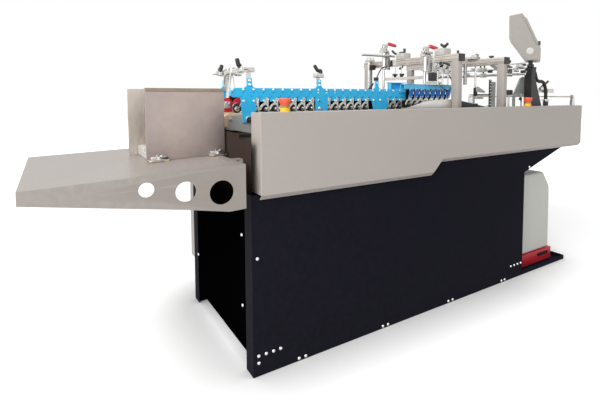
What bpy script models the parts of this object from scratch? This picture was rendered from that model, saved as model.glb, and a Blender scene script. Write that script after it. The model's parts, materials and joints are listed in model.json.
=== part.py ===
# Box folder gluer: a table-height machine that folds and glues small cartons.
# Cartons enter at the right (+X), run between the lower belts and the upper press rollers,
# and leave at the left over the delivery tray. Metres, +Z up.
# Sizes below are in the machine's own frame: X from the base's left end, Y from the front
# panel towards the rear, Z from the floor. An empty carries them to the part's origin.

import math

import bmesh
import bpy
from mathutils import Matrix, Vector

# Fits
TOUCH = 0.0003            # gap between two pieces that touch
RUNNING = 0.0005          # radial gap of a shaft in its hole
SHEET = 0.003             # folded steel sheet

# Main sizes, from which the rest takes its places
BASE_LENGTH = 1.357
BASE_WIDTH = 0.625
TABLE_TOP = 0.800

# Covers along the table
COVER_FRONT = -0.025
COVER_LEFT = 0.022
COVER_BOTTOM = TABLE_TOP - 0.242
COVER_STEP_BOTTOM = TABLE_TOP - 0.194
COVER_STEP_START = BASE_LENGTH - 0.625
COVER_STEP_END = COVER_STEP_START + 0.049
COVER_FLANGE = 0.072
COVER_LIP = 0.015
REAR_COVER_BACK = BASE_WIDTH + 0.085

# Base cabinet
OVERHANG_LENGTH = BASE_LENGTH + 0.350
OVERHANG_HEIGHT = COVER_STEP_BOTTOM - 0.004
KNEE_HEIGHT = OVERHANG_HEIGHT - 0.110     # where the right end starts to slope out
COVER_RIGHT = OVERHANG_LENGTH + 0.098
FLOOR_FLANGE = 0.043
CORNER_FLANGE = 0.055
CORNER_RELIEF = 0.005
END_PANEL_BOTTOM = 0.059
END_PANEL_TOP = TABLE_TOP - 0.084         # the dark end panel rises to just under the belt carriers
BASE_TRAY_END = BASE_LENGTH + 0.367
BASE_TRAY_RIM = 0.020

# Frame inside the covers
DECK_LEVEL = TABLE_TOP - 0.100
DECK_THICKNESS = 0.006
DECK_FRONT = 0.050
BEAM_LEFT = 0.060
BEAM_RIGHT = OVERHANG_LENGTH - 0.007
LEDGE_BOTTOM = COVER_BOTTOM - 0.038
LEDGE_RIGHT = BASE_LENGTH + 0.023
NEAR_BEAM_FRONT = 0.030
NEAR_BEAM_BACK = 0.095
FAR_BEAM_FRONT = BASE_WIDTH - 0.050
FAR_BEAM_BACK = BASE_WIDTH + 0.015

# Electrical cabinet on the rear
CABINET_LEFT = 0.010
CABINET_RIGHT = COVER_STEP_START - 0.007
CABINET_BOTTOM = 0.160

# Compressor unit on the base tray
COMPRESSOR_LEFT = BASE_LENGTH + 0.028
COMPRESSOR_RIGHT = BASE_LENGTH + 0.307
COMPRESSOR_FRONT = 0.050
COMPRESSOR_BACK = BASE_WIDTH - 0.105
COMPRESSOR_BAND_TOP = 0.062
COMPRESSOR_TOP = KNEE_HEIGHT - 0.028
CHAMFER_ACROSS = 0.062
CHAMFER_DOWN = 0.079
BAND_STEP = 0.006         # how far the red band stands out of the housing
BAND_TAIL = 0.012
BAND_SLOT_LEFT = 0.170
BAND_SLOT_RIGHT = 0.020
BAND_SLOT_LOW = 0.034
BAND_SLOT_HIGH = 0.048
BAND_SLOT_DEPTH = 0.008

# Delivery tray
TRAY_LEFT = -0.549
TRAY_RIGHT = -0.025
TRAY_FRONT = -0.025
TRAY_BACK = BASE_WIDTH - 0.011
TRAY_LEFT_TOP = TABLE_TOP - 0.1585
TRAY_RIGHT_TOP = TABLE_TOP - 0.143
TRAY_SHEET = 0.002
TRAY_END_FLANGE = 0.032
TRAY_KNEE = (-0.188, TABLE_TOP - 0.251)
TRAY_HEEL = (-0.074, TABLE_TOP - 0.273)
TRAY_HEEL_END = TABLE_TOP - 0.271
TRAY_HOLES = (
    (-0.287, TABLE_TOP - 0.186, 0.0186),
    (-0.191, TABLE_TOP - 0.202, 0.0266),
    (-0.095, TABLE_TOP - 0.216, 0.0336),
)
TRAY_TABS = (0.060, BASE_WIDTH - 0.095)
TRAY_TAB_WIDTH = 0.030

# Side guides that stand on the tray
GUIDE_SHEET = 0.003
GUIDE_LEFT = -0.247
GUIDE_RIGHT = -0.008
GUIDE_TOP = TABLE_TOP + 0.073
GUIDE_LIFT = 0.002        # the sheet's lower edge over the tray; its feet stand on the tray
NEAR_GUIDE_FACE = BASE_WIDTH * 0.32
FAR_GUIDE_FACE = BASE_WIDTH * 0.6576
GUIDE_TOP_FLANGE = 0.014
GUIDE_FOOT = (0.034, 0.026, 0.005)
GUIDE_FOOT_INSET = 0.028
GUIDE_BLOCK = (0.024, 0.090, 0.036)

# Lower belts and their carriers
BELT_LEVEL = TABLE_TOP - 0.013
BELT_THICKNESS = 0.003
PULLEY_RADIUS = 0.027
BELT_LEFT = 0.004
BELT_RIGHT = BASE_LENGTH - 0.072
BELT_WIDTH = 0.060
PLATE_THICKNESS = 0.006
NEAR_PLATE_FACE = BASE_WIDTH * 0.40208
FAR_PLATE_FACE = BASE_WIDTH * 0.79792
CARRIER_LEG_WIDTH = 0.060
CARRIER_LEGS = (0.150, 0.620, BASE_LENGTH - 0.237)
BELT_SIDE_GAP = 0.0005
NOSE_INSETS = (0.018, 0.030, 0.100)
NOSE_DROPS = (0.005, 0.014, 0.030, 0.048)

# Feeder bed
FEEDER_LEFT = BASE_LENGTH - 0.057
FEEDER_RIGHT = OVERHANG_LENGTH + 0.058
FEEDER_FRONT = 0.105
FEEDER_BACK = BASE_WIDTH - 0.060
FEEDER_BELT_FRONT = BASE_WIDTH * 0.352
FEEDER_BELT_BACK = BASE_WIDTH * 0.72
FEEDER_LEG_LEFT = FEEDER_LEFT + 0.045
FEEDER_LEG_RIGHT = OVERHANG_LENGTH - 0.017

# Upper carriers with their press rollers
CARRIER_LEFT = 0.030
CARRIER_RIGHT = BASE_LENGTH - 0.522
FAR_CARRIER_RIGHT = BASE_LENGTH - 0.242
CARRIER_TOP = TABLE_TOP + 0.077
CARRIER_EDGE = TABLE_TOP + 0.029
CARRIER_WINDOW_TOP = CARRIER_EDGE + 0.015
CARRIER_NOSE = (CARRIER_TOP - CARRIER_WINDOW_TOP) / 2
ROLLER_PITCH = 0.038
FIRST_ROLLER = 0.168
WINDOW_WIDTH = 0.016
DROP_MARGIN = 0.0085      # a window's middle keeps at least this far from a drop
ROLLER_RADIUS = 0.013
ROLLER_WIDTH = 0.012
ROLLER_LIFT = 0.0008
MIDDLE_DROP = CARRIER_RIGHT * 0.4323353   # left edge of the second drop
DROPS = (
    (0.066, 0.125),
    (MIDDLE_DROP, MIDDLE_DROP + 0.065),
    (CARRIER_RIGHT - 0.194, CARRIER_RIGHT - 0.106),
)
DROP_FEET = (
    (0.074, 0.106, TABLE_TOP - 0.044),
    (MIDDLE_DROP + 0.005, MIDDLE_DROP + 0.060, TABLE_TOP - 0.008),
    (CARRIER_RIGHT - 0.185, CARRIER_RIGHT - 0.115, TABLE_TOP - 0.008),
)
DROP_KNEE = TABLE_TOP     # a drop's right edge runs straight down to here, then slants in
HUMPS = (
    (0.0995, CARRIER_TOP + 0.0335),
    (MIDDLE_DROP + 0.022, CARRIER_TOP + 0.035),
    (CARRIER_RIGHT - 0.168, CARRIER_TOP + 0.035),
)
FAR_HUMPS = HUMPS[:1]
HUMP_WIDTH = 0.018
HUMP_CORNER = 0.003
HUMP_FILLET = 0.014
BRACKET_LEFT = CARRIER_RIGHT - 0.092      # channel that stands on the near carrier's right end
BRACKET_RIGHT = CARRIER_RIGHT - 0.026
BRACKET_TOP = CARRIER_TOP + 0.030
BRACKET_DEPTH = 0.022
BRACKET_SHEET = 0.003
BRACKET_ROOT = 0.008
ARM_PATH = (
    (-0.006, 0.019), (-0.008, 0.001), (-0.006, -0.012), (0.001, -0.021), (0.010, -0.030),
)                         # an arm's hooked left edge, from the roller's place on the carrier's edge
ARM_WIDTH = 0.007
MIDDLE_LEFT = BASE_LENGTH - 0.567
MIDDLE_RIGHT = BASE_LENGTH - 0.242
MIDDLE_BACK = NEAR_PLATE_FACE - 0.0123
MIDDLE_FRONT = MIDDLE_BACK - 0.026
MIDDLE_TOP = TABLE_TOP + 0.093
MIDDLE_BOTTOM = TABLE_TOP + 0.062
MIDDLE_ROLLERS = 6
FIRST_MIDDLE_ROLLER = CARRIER_RIGHT + 0.055

# Cross bar over the delivery end
CROSS_BAR_HEIGHT = TABLE_TOP + 0.140
CROSS_BAR_RADIUS = 0.007
CROSS_BAR_FRONT = NEAR_PLATE_FACE - 0.0363
CROSS_BAR_BACK = FAR_PLATE_FACE + 0.1013
LEVER_PLACES = (NEAR_PLATE_FACE + 0.0857, FAR_PLATE_FACE + 0.0593)
LEVER_HUB_RADIUS = 0.008
LEVER_HUB_HEIGHT = 0.014
LEVER_RADIUS = 0.005
KICKER_CLAMP = FAR_PLATE_FACE - 0.0437
KICKER_ROD_RADIUS = 0.0042
BAR_CLAMP_HALF = 0.012
POST_CLAMP_HALF = (0.016, 0.010, 0.009)
LEVER_CLAMP_HALF = (0.012, 0.010, 0.0095)
ROD_CLAMP_HALF = (0.014, 0.010, 0.012)
TONGUE_WIDTH = 0.014
TONGUE_DEPTH = 0.008

# Kicker
KICKER_FACE = NEAR_PLATE_FACE + 0.0667
KICKER_THICKNESS = 0.004
KICKER_WHEEL_PLACE = (0.076, TABLE_TOP + 0.0035)
KICKER_WHEEL_RADIUS = 0.0155
KICKER_WHEEL_WIDTH = 0.013
KICKER_AXLE_RADIUS = 0.003
KICKER_OUTLINE = (
    (0.014, 0.004), (0.016, 0.040), (-0.002, 0.034), (-0.012, 0.022), (-0.026, 0.040), (-0.048, 0.036),
)
KICKER_BLOCK = (0.018, 0.016, 0.024)

# Gantries
POST_SIZE = (0.026, 0.037)
BEAM_WIDTH = 0.040
NEAR_POST_FRONT = 0.057
FAR_POST_FRONT = BASE_WIDTH + 0.045
GANTRY_LEFT = (BASE_LENGTH - 0.406, BASE_LENGTH - 0.096)
GANTRY_NAMES = ("delivery_gantry", "feeder_gantry")
GANTRY_BEAM_BOTTOM = TABLE_TOP + 0.196
GANTRY_BEAM_TOP = GANTRY_BEAM_BOTTOM + 0.032
BEAM_SLOT = (0.008, 0.006)

# Rack heads with toggle clamps on the delivery gantry
HEAD_DEPTH = 0.045
HEAD_WIDTH = 0.034
HEAD_BOTTOM = GANTRY_BEAM_BOTTOM - 0.010
NEAR_HEAD = ((MIDDLE_FRONT + MIDDLE_BACK) / 2, TABLE_TOP + 0.240, MIDDLE_TOP + TOUCH)
FAR_HEAD = (FAR_PLATE_FACE + 0.0143, TABLE_TOP + 0.279, TABLE_TOP + 0.052)
HEAD_ROD_RADIUS = 0.005
SADDLE_STARTS = (NEAR_HEAD[0] - HEAD_WIDTH / 2 - 0.063, FAR_HEAD[0] - HEAD_WIDTH / 2 - 0.149)
SADDLE_LENGTH = 0.058
SADDLE_RISE = 0.030
SADDLE_SINK = 0.002
SADDLE_CHEEK = 0.004
SADDLE_STRAP = 0.026
RACK_WIDTH = 0.012
RACK_BOTTOM = HEAD_BOTTOM - 0.020
RACK_INSET = 0.010
TOGGLE_PIVOT_LIFT = 0.018
TOGGLE_PIN_RADIUS = 0.003
EAR_THICKNESS = 0.004
EAR_REACH = 0.009
EAR_HALF_WIDTH = 0.010
HANDLE_ROOT = (0.012, 0.0045, 0.007)
STEM_REACH = 0.030
STEM_RADIUS = 0.0035
GRIP_START = 0.024
GRIP_LENGTH = 0.050
GRIP_RADIUS = 0.007
GRIP_RISE = 0.016
GRIP_END_RISE = 0.006
STEM_RISE = 0.013

# Bars between the gantries
LOWER_BAR_HEIGHT = GANTRY_BEAM_BOTTOM - 0.064
LOWER_BAR_SIZE = 0.014
BAR_KNOBS = (FAR_PLATE_FACE - 0.0987, FAR_PLATE_FACE - 0.0587)
BAR_KNOB_RADIUS = 0.008
BAR_KNOB_RISE = 0.026
SHAFT_X = GANTRY_LEFT[1] + 0.169
SHAFT_HEIGHTS = (GANTRY_BEAM_BOTTOM - 0.012, GANTRY_BEAM_BOTTOM - 0.041)
SHAFT_RADII = (0.0045, 0.0062)
SHAFT_FRONT = 0.058
SHAFT_BACK = BASE_WIDTH + 0.030
SHAFT_LINKS = (0.135, BASE_WIDTH - 0.020)
SHAFT_LINK_WIDTH = 0.028
LINK_WALL = 0.010
LINK_INSET = 0.012

# Feeder fittings
GATE_X = FEEDER_LEFT + 0.052
GATE_Y = BASE_WIDTH * 0.32
GATE_TOP = TABLE_TOP + 0.132
GATE_SIZE = 0.014
GATE_PLATE_LEFT = 0.010
GATE_PLATE_RIGHT = 0.040
STACK_GUIDE_FACES = (BASE_WIDTH * 0.3168, BASE_WIDTH * 0.752)
STACK_GUIDE_SHEET = 0.003
STACK_GUIDE_LEFT = FEEDER_RIGHT - 0.225
STACK_GUIDE_RIGHT = FEEDER_RIGHT - 0.020
STACK_GUIDE_TOP = TABLE_TOP + 0.145
STACK_GUIDE_CORNER = 0.062
STACK_SHEET_BOTTOM = TABLE_TOP + 0.045
STACK_LEG = 0.024
STACK_FOOT = (0.020, 0.018, 0.004)
STACK_RAIL_TOP = TABLE_TOP + 0.058
STACK_RAIL_DEPTH = 0.006
REST_ROD_X = COVER_RIGHT - 0.030
REST_ROD_HEIGHT = TABLE_TOP + 0.045
REST_ROD_RADIUS = 0.004
REST_BRACKET_FRONT = 0.004
REST_BRACKET_BACK = BASE_WIDTH + 0.035
REST_BRACKET_WIDTH = 0.012
REST_BRACKET_FOOT = 0.014
REST_BRACKET_HEAD = 0.007
REST_BRACKET_RISE = 0.008

# Guide plates on the near frame beam
ENTRY_PLATE_FRONT = 0.087
ENTRY_PLATE_LEFT = GANTRY_LEFT[0] - 0.261
ENTRY_PLATE_RIGHT = GANTRY_LEFT[0] - 0.003
ENTRY_PLATE_TOP = TABLE_TOP + 0.034
WEDGE_LEFT = GANTRY_LEFT[0] + 0.045
WEDGE_RIGHT = WEDGE_LEFT + 0.178
WEDGE_TOP = TABLE_TOP + 0.030

# Control column and screen box
COLUMN_FRONT = 0.0553
COLUMN_BACK = 0.095
COLUMN_LEFT = BASE_LENGTH + 0.123
COLUMN_FOOT_RIGHT = COLUMN_LEFT + 0.092
COLUMN_HEIGHT = 0.190
COLUMN_TOP = TABLE_TOP + COLUMN_HEIGHT
COLUMN_CREASE = (COLUMN_LEFT + 0.031, COLUMN_TOP - 0.052)
COLUMN_ROUND = 0.016
SWIVEL_CENTRE = (COLUMN_LEFT + 0.020, 0.076)
SWIVEL_RADIUS = 0.016
SWIVEL_TOP = COLUMN_TOP + 0.014
BOX_YAW = -57.6
BOX_PIVOT_HEIGHT = COLUMN_TOP + 0.062
BOX_WIDTH = 0.200
BOX_OUTLINE = (
    (-0.099, 0.179), (-0.042, 0.188), (-0.033, 0.173), (-0.021, 0.163), (0.038, 0.031),
    (0.042, 0.021), (0.042, -0.033), (-0.022, -0.033), (-0.097, 0.074),
)
BOX_PIN_RADIUS = 0.005
TONGUE_HALF = (0.010, 0.014)
BOX_SLOT_HALF = (0.028, 0.020)
BOX_SLOT_DEPTH = 0.060

# Hose from the column to its gland on the near frame beam
HOSE_RADIUS = 0.0085
HOSE_SOCKET_RADIUS = 0.0115
HOSE_SOCKET_END = COLUMN_LEFT + 0.044
HOSE_SOCKET_HEIGHT = COLUMN_TOP - 0.016
HOSE_CAP_TILT = 0.0021    # the hose's end ring leans towards its socket by this much
HOSE_BENDS = (
    (0.054, 0.90526), (0.064, 0.84737), (0.071, 0.75789), (0.080, 0.68421), (0.100, 0.64211),
    (0.122, 0.64211), (0.142, 0.60000), (0.156, 0.49474), (0.163, 0.34737),
)                         # distance right of the column, and share of the column's height
GLAND_CENTRE = (COLUMN_LEFT + 0.165, 0.078)
GLAND_TOP = TABLE_TOP + 0.032

# Emergency stop buttons on the front cover
STOP_PLACES = (0.120, BASE_LENGTH + 0.033)
STOP_NAMES = ("left", "right")
STOP_Y = 0.015
STOP_HEAD_RADIUS = 0.0205
STOP_HEAD_BOTTOM = TABLE_TOP + 0.018
STOP_HEAD_TOP = TABLE_TOP + 0.042
STOP_COLLAR_TOP = TABLE_TOP + 0.0125
STOP_STEM_RADIUS = 0.008

CIRCLE = 24               # sides of an ordinary round piece
SMALL_CIRCLE = 12         # sides of a small pin, rod or roller


def tray_height(x):
    """Height of the delivery tray's top face, which rises towards the machine."""
    share = (x - TRAY_LEFT) / (TRAY_RIGHT - TRAY_LEFT)
    return TRAY_LEFT_TOP + share * (TRAY_RIGHT_TOP - TRAY_LEFT_TOP)


def clear_scene():
    for thing in list(bpy.data.objects):
        bpy.data.objects.remove(thing, do_unlink=True)


def new_collection(name):
    group = bpy.data.collections.new(name)
    bpy.context.scene.collection.children.link(group)
    return group


def new_finish(name, colour, roughness, metallic=0.0):
    """A plain painted, metal or plastic material."""
    finish = bpy.data.materials.new(name)
    finish.use_nodes = True
    shader = finish.node_tree.nodes["Principled BSDF"]
    shader.inputs["Base Color"].default_value = (*colour, 1.0)
    shader.inputs["Roughness"].default_value = roughness
    shader.inputs["Metallic"].default_value = metallic
    return finish


clear_scene()
PARTS = new_collection("box folder gluer")
CUTTERS = new_collection("cutters")
FINISHES = {
    "navy panel": (0.012, 0.012, 0.022),
    "grey cover": (0.45, 0.41, 0.37),
    "aluminium": (0.62, 0.61, 0.59),
    "steel": (0.55, 0.55, 0.54),
    "grey plate": (0.20, 0.21, 0.20),
    "blue plate": (0.03, 0.40, 0.75),
    "belt": (0.62, 0.45, 0.27),
    "feeder belt": (0.80, 0.78, 0.72),
    "black": (0.02, 0.02, 0.02),
    "red": (0.70, 0.04, 0.04),
    "yellow": (0.85, 0.60, 0.05),
    "light grey": (0.50, 0.50, 0.47),
}
METALS = ("aluminium", "steel")


def new_empty(name, place, parent=None, yaw=0.0):
    """An empty at a joint's axis, or one that carries the whole machine."""
    empty = bpy.data.objects.new(name, None)
    PARTS.objects.link(empty)
    empty.location = place
    empty.rotation_euler = (0.0, 0.0, math.radians(yaw))
    empty.parent = parent
    return empty


MACHINE = new_empty(
    "machine_frame",
    (-(TRAY_LEFT + COVER_RIGHT) / 2, -(COVER_FRONT + REAR_COVER_BACK) / 2, 0.0),
)


def finish_of(name):
    found = bpy.data.materials.get(name)
    if found is None:
        metallic = 1.0 if name in METALS else 0.0
        found = new_finish(name, FINISHES[name], 0.45, metallic)
    return found


def add_object(name, mesh, finish, place=(0.0, 0.0, 0.0), parent=None, group=None):
    thing = bpy.data.objects.new(name, mesh)
    (group or PARTS).objects.link(thing)
    thing.parent = parent or MACHINE
    thing.location = place
    if finish:
        mesh.materials.append(finish_of(finish))
    return thing


def mesh_from(bm, name):
    mesh = bpy.data.meshes.new(name)
    bm.to_mesh(mesh)
    bm.free()
    return mesh


def add_block(name, low, high, finish=None, parent=None, group=None):
    """A box between two corners."""
    low = Vector(low)
    high = Vector(high)
    bm = bmesh.new()
    bmesh.ops.create_cube(bm, size=1.0)
    bmesh.ops.scale(bm, vec=high - low, verts=bm.verts)
    return add_object(name, mesh_from(bm, name), finish, (low + high) / 2, parent, group)


def add_rod(
    name, start, end, radius, finish=None, sides=SMALL_CIRCLE, parent=None, end_radius=None, group=None
):
    """A round bar between two points, or a cone if end_radius differs."""
    start = Vector(start)
    end = Vector(end)
    way = end - start
    bm = bmesh.new()
    bmesh.ops.create_cone(
        bm, cap_ends=True, segments=sides, radius1=radius, radius2=end_radius or radius, depth=way.length
    )
    turn = way.to_track_quat("Z", "Y").to_matrix()
    bmesh.ops.rotate(bm, verts=bm.verts, cent=(0.0, 0.0, 0.0), matrix=turn)
    mesh = mesh_from(bm, name)
    mesh.shade_smooth()
    mesh.set_sharp_from_angle(angle=math.radians(40))
    return add_object(name, mesh, finish, (start + end) / 2, parent, group)


TURNS = {
    "X": Matrix(((0, 0, 1), (1, 0, 0), (0, 1, 0))),
    "Y": Matrix(((1, 0, 0), (0, 0, -1), (0, 1, 0))),
    "Z": Matrix.Identity(3),
}


def add_prism(name, outlines, axis, start, end, finish=None, parent=None, group=None):
    """Flat outlines, the first one solid and the rest holes, carried along an axis.

    Outline points are (y, z) for axis X, (x, z) for axis Y and (x, y) for axis Z.
    """
    curve = bpy.data.curves.new(name, "CURVE")
    curve.dimensions = "2D"
    curve.fill_mode = "BOTH"
    curve.extrude = (end - start) / 2
    for outline in outlines:
        spline = curve.splines.new("POLY")
        spline.points.add(len(outline) - 1)
        for point, (across, up) in zip(spline.points, outline):
            point.co = (across, up, 0.0, 1.0)
        spline.use_cyclic_u = True
    shape = bpy.data.objects.new(name + " outline", curve)
    PARTS.objects.link(shape)
    bpy.context.view_layer.update()
    evaluated = shape.evaluated_get(bpy.context.evaluated_depsgraph_get())
    mesh = bpy.data.meshes.new_from_object(evaluated)
    bpy.data.objects.remove(shape)
    bpy.data.curves.remove(curve)
    bm = bmesh.new()
    bm.from_mesh(mesh)
    bmesh.ops.remove_doubles(bm, verts=bm.verts, dist=0.00001)
    bmesh.ops.rotate(bm, verts=bm.verts, cent=(0.0, 0.0, 0.0), matrix=TURNS[axis])
    bmesh.ops.recalc_face_normals(bm, faces=bm.faces)
    bm.to_mesh(mesh)
    bm.free()
    mesh.name = name
    middle = (start + end) / 2
    place = Vector((0.0, 0.0, 0.0))
    place["XYZ".index(axis)] = middle
    return add_object(name, mesh, finish, place, parent, group)


def add_turned(name, profile, place, finish, parent=None, steps=CIRCLE):
    """A profile of (radius, height) points, run down its outer side, turned about Z."""
    bm = bmesh.new()
    points = [bm.verts.new((radius, 0.0, height)) for radius, height in profile]
    for first, second in zip(points, points[1:]):
        bm.edges.new((first, second))
    thing = add_object(name, mesh_from(bm, name), finish, place, parent)
    screw = thing.modifiers.new("turn", "SCREW")
    screw.steps = steps
    screw.render_steps = steps
    screw.use_merge_vertices = True
    screw.merge_threshold = 0.00005
    screw.use_smooth_shade = False
    return thing


def apply_modifiers(thing):
    """Make the mesh that the modifiers give the object's own."""
    bpy.context.view_layer.update()
    evaluated = thing.evaluated_get(bpy.context.evaluated_depsgraph_get())
    mesh = bpy.data.meshes.new_from_object(evaluated)
    thing.modifiers.clear()
    thing.data = mesh


def join(thing, others):
    """Weld other shapes to a piece as one solid."""
    welds = bpy.data.collections.new("welds")
    for other in others:
        welds.objects.link(other)
    union = thing.modifiers.new("weld", "BOOLEAN")
    union.operation = "UNION"
    union.operand_type = "COLLECTION"
    union.collection = welds
    union.solver = "EXACT"
    apply_modifiers(thing)
    for other in others:
        bpy.data.objects.remove(other)
    bpy.data.collections.remove(welds)
    return thing


def cut(thing, cutter):
    """Take a cutter's shape out of a piece and keep the cutter beside it."""
    for group in cutter.users_collection:
        group.objects.unlink(cutter)
    CUTTERS.objects.link(cutter)
    cutter.display_type = "WIRE"
    cutter.hide_render = True
    hole = thing.modifiers.new("cut " + cutter.name, "BOOLEAN")
    hole.operation = "DIFFERENCE"
    hole.object = cutter
    hole.solver = "EXACT"
    return thing


def arc(centre, radius, start, end, steps):
    """Points on a circle from one angle to another, in degrees."""
    points = []
    for step in range(steps + 1):
        angle = math.radians(start + (end - start) * step / steps)
        points.append((centre[0] + radius * math.cos(angle), centre[1] + radius * math.sin(angle)))
    return points


def stadium(left, right, middle, radius, steps=10):
    """A long outline with round ends, from left to right at the given height."""
    return arc((right - radius, middle), radius, -90, 90, steps) + arc(
        (left + radius, middle), radius, 90, 270, steps
    )


def strip(path, thickness):
    """Outline of a bent sheet: a path of points and the same path set off to its left."""
    offset = []
    for index, point in enumerate(path):
        here = Vector(point)
        before = here - Vector(path[index - 1]) if index > 0 else Vector(path[1]) - here
        after = Vector(path[index + 1]) - here if index < len(path) - 1 else before
        first = Vector((-before.y, before.x)).normalized()
        second = Vector((-after.y, after.x)).normalized()
        corner = (first + second).normalized()
        offset.append(tuple(here + corner * thickness / corner.dot(first)))
    return list(path) + offset[::-1]


def add_folded_sheet(name, outline, face, inward, folds, thickness, finish):
    """A sheet in the XZ plane at Y = face whose edges are folded.

    Each fold is (first point, last point, way): the edges between two outline points,
    carried along a vector. The thickness lies inside, on the side that inward points to.
    """
    bm = bmesh.new()
    corners = [bm.verts.new((x, 0.0, z)) for x, z in outline]
    front = bm.faces.new(corners)
    bm.edges.ensure_lookup_table()
    count = len(corners)
    for first, last, way in folds:
        edges = []
        index = first
        while index != last:
            following = (index + 1) % count
            edges.append(bm.edges.get((corners[index], corners[following])))
            index = following
        made = bmesh.ops.extrude_edge_only(bm, edges=edges)
        moved = [item for item in made["geom"] if isinstance(item, bmesh.types.BMVert)]
        bmesh.ops.translate(bm, verts=moved, vec=way)
    bmesh.ops.recalc_face_normals(bm, faces=bm.faces)
    front.normal_update()
    if front.normal.y * inward > 0:
        bmesh.ops.reverse_faces(bm, faces=bm.faces)
    thing = add_object(name, mesh_from(bm, name), finish, (0.0, face, 0.0))
    wall = thing.modifiers.new("thickness", "SOLIDIFY")
    wall.thickness = thickness
    wall.offset = -1.0
    wall.use_even_offset = True
    wall.use_rim = True
    return thing


def side_panel(name, face, inward):
    """Front or rear panel: floor and corner flanges, sloped right end, top edge along the cover."""
    outline = [
        (0.0, 0.0),
        (CORNER_RELIEF, 0.0),
        (BASE_LENGTH, 0.0),
        (BASE_LENGTH, KNEE_HEIGHT),
        (OVERHANG_LENGTH, OVERHANG_HEIGHT),
        (OVERHANG_LENGTH, COVER_STEP_BOTTOM - TOUCH),
        (COVER_STEP_END, COVER_STEP_BOTTOM - TOUCH),
        (COVER_STEP_START, COVER_BOTTOM - TOUCH),
        (0.0, COVER_BOTTOM - TOUCH),
    ]
    folds = [
        (1, 2, (0.0, inward * FLOOR_FLANGE, 0.0)),
        (8, 0, (0.0, inward * CORNER_FLANGE, 0.0)),
    ]
    return add_folded_sheet(name, outline, face, inward, folds, SHEET, "navy panel")


def base_cabinet():
    side_panel("front_panel", 0.0, 1.0)
    side_panel("rear_panel", BASE_WIDTH, -1.0)
    near = CORNER_FLANGE + TOUCH
    far = BASE_WIDTH - near
    outline = [
        (near, END_PANEL_BOTTOM),
        (far, END_PANEL_BOTTOM),
        (far, COVER_BOTTOM),
        (BASE_WIDTH, COVER_BOTTOM),
        (BASE_WIDTH, END_PANEL_TOP),
        (0.0, END_PANEL_TOP),
        (0.0, COVER_BOTTOM),
        (near, COVER_BOTTOM),
    ]
    add_prism("left_end_panel", [outline], "X", 0.0, SHEET, "navy panel")
    path = [
        (BASE_LENGTH, SHEET + TOUCH),
        (BASE_LENGTH, KNEE_HEIGHT),
        (OVERHANG_LENGTH, OVERHANG_HEIGHT),
        (OVERHANG_LENGTH, DECK_LEVEL + DECK_THICKNESS),
    ]
    inside = SHEET + TOUCH
    add_prism("right_end_panel", [strip(path, SHEET)], "Y", inside, BASE_WIDTH - inside, "navy panel")


def base_tray():
    """Shallow pan that carries the compressor unit."""
    left = BASE_LENGTH + TOUCH
    high = (BASE_TRAY_END, BASE_WIDTH, BASE_TRAY_RIM)
    tray = add_block("base_tray", (left, 0.0, 0.0), high, "navy panel")
    room = add_block(
        "base tray room",
        (left + SHEET, SHEET, SHEET),
        (BASE_TRAY_END - SHEET, BASE_WIDTH - SHEET, BASE_TRAY_RIM + SHEET),
    )
    cut(tray, room)


def deck_top():
    return DECK_LEVEL + DECK_THICKNESS


def beam_top():
    return TABLE_TOP - SHEET - TOUCH


def machine_frame():
    """Deck plate and two long beams that carry the covers, posts and column on inner ledges."""
    inside = SHEET + TOUCH
    deck_right = OVERHANG_LENGTH - inside
    deck_low = (inside, DECK_FRONT, DECK_LEVEL)
    deck_high = (deck_right, BASE_WIDTH - inside, deck_top())
    deck = add_block("frame_deck", deck_low, deck_high, "grey plate")
    low = COVER_STEP_BOTTOM + TOUCH
    pieces = [
        add_block("near beam", (BEAM_LEFT, NEAR_BEAM_FRONT, low), (BEAM_RIGHT, NEAR_BEAM_BACK, beam_top())),
        add_block("far beam", (BEAM_LEFT, FAR_BEAM_FRONT, low), (BEAM_RIGHT, FAR_BEAM_BACK, beam_top())),
    ]
    high = low + DECK_THICKNESS
    for front, back in ((inside, NEAR_BEAM_BACK), (FAR_BEAM_FRONT, BASE_WIDTH - inside)):
        pieces.append(add_block("ledge", (BEAM_LEFT, front, LEDGE_BOTTOM), (LEDGE_RIGHT, back, high)))
    join(deck, pieces)


def cover_outline():
    return [
        (COVER_LEFT, TABLE_TOP),
        (COVER_LEFT, COVER_BOTTOM),
        (COVER_STEP_START, COVER_BOTTOM),
        (COVER_STEP_END, COVER_STEP_BOTTOM),
        (COVER_RIGHT, COVER_STEP_BOTTOM),
        (COVER_RIGHT, TABLE_TOP),
    ]


def covers():
    """Long sheet covers: stepped lower edge, top and ends folded in, a lip along the front."""
    add_folded_sheet(
        "front_cover",
        cover_outline(),
        COVER_FRONT,
        1.0,
        [(4, 1, (0.0, COVER_FLANGE, 0.0)), (1, 4, (0.0, COVER_LIP, -COVER_LIP))],
        SHEET,
        "grey cover",
    )
    depth = REAR_COVER_BACK - BASE_WIDTH - TOUCH
    fold = (4, 1, (0.0, -depth, 0.0))
    add_folded_sheet("rear_cover", cover_outline(), REAR_COVER_BACK, -1.0, [fold], SHEET, "grey cover")
    add_block(
        "control_cabinet",
        (CABINET_LEFT, BASE_WIDTH + TOUCH, CABINET_BOTTOM),
        (CABINET_RIGHT, REAR_COVER_BACK, COVER_BOTTOM - TOUCH),
        "grey cover",
    )


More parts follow.
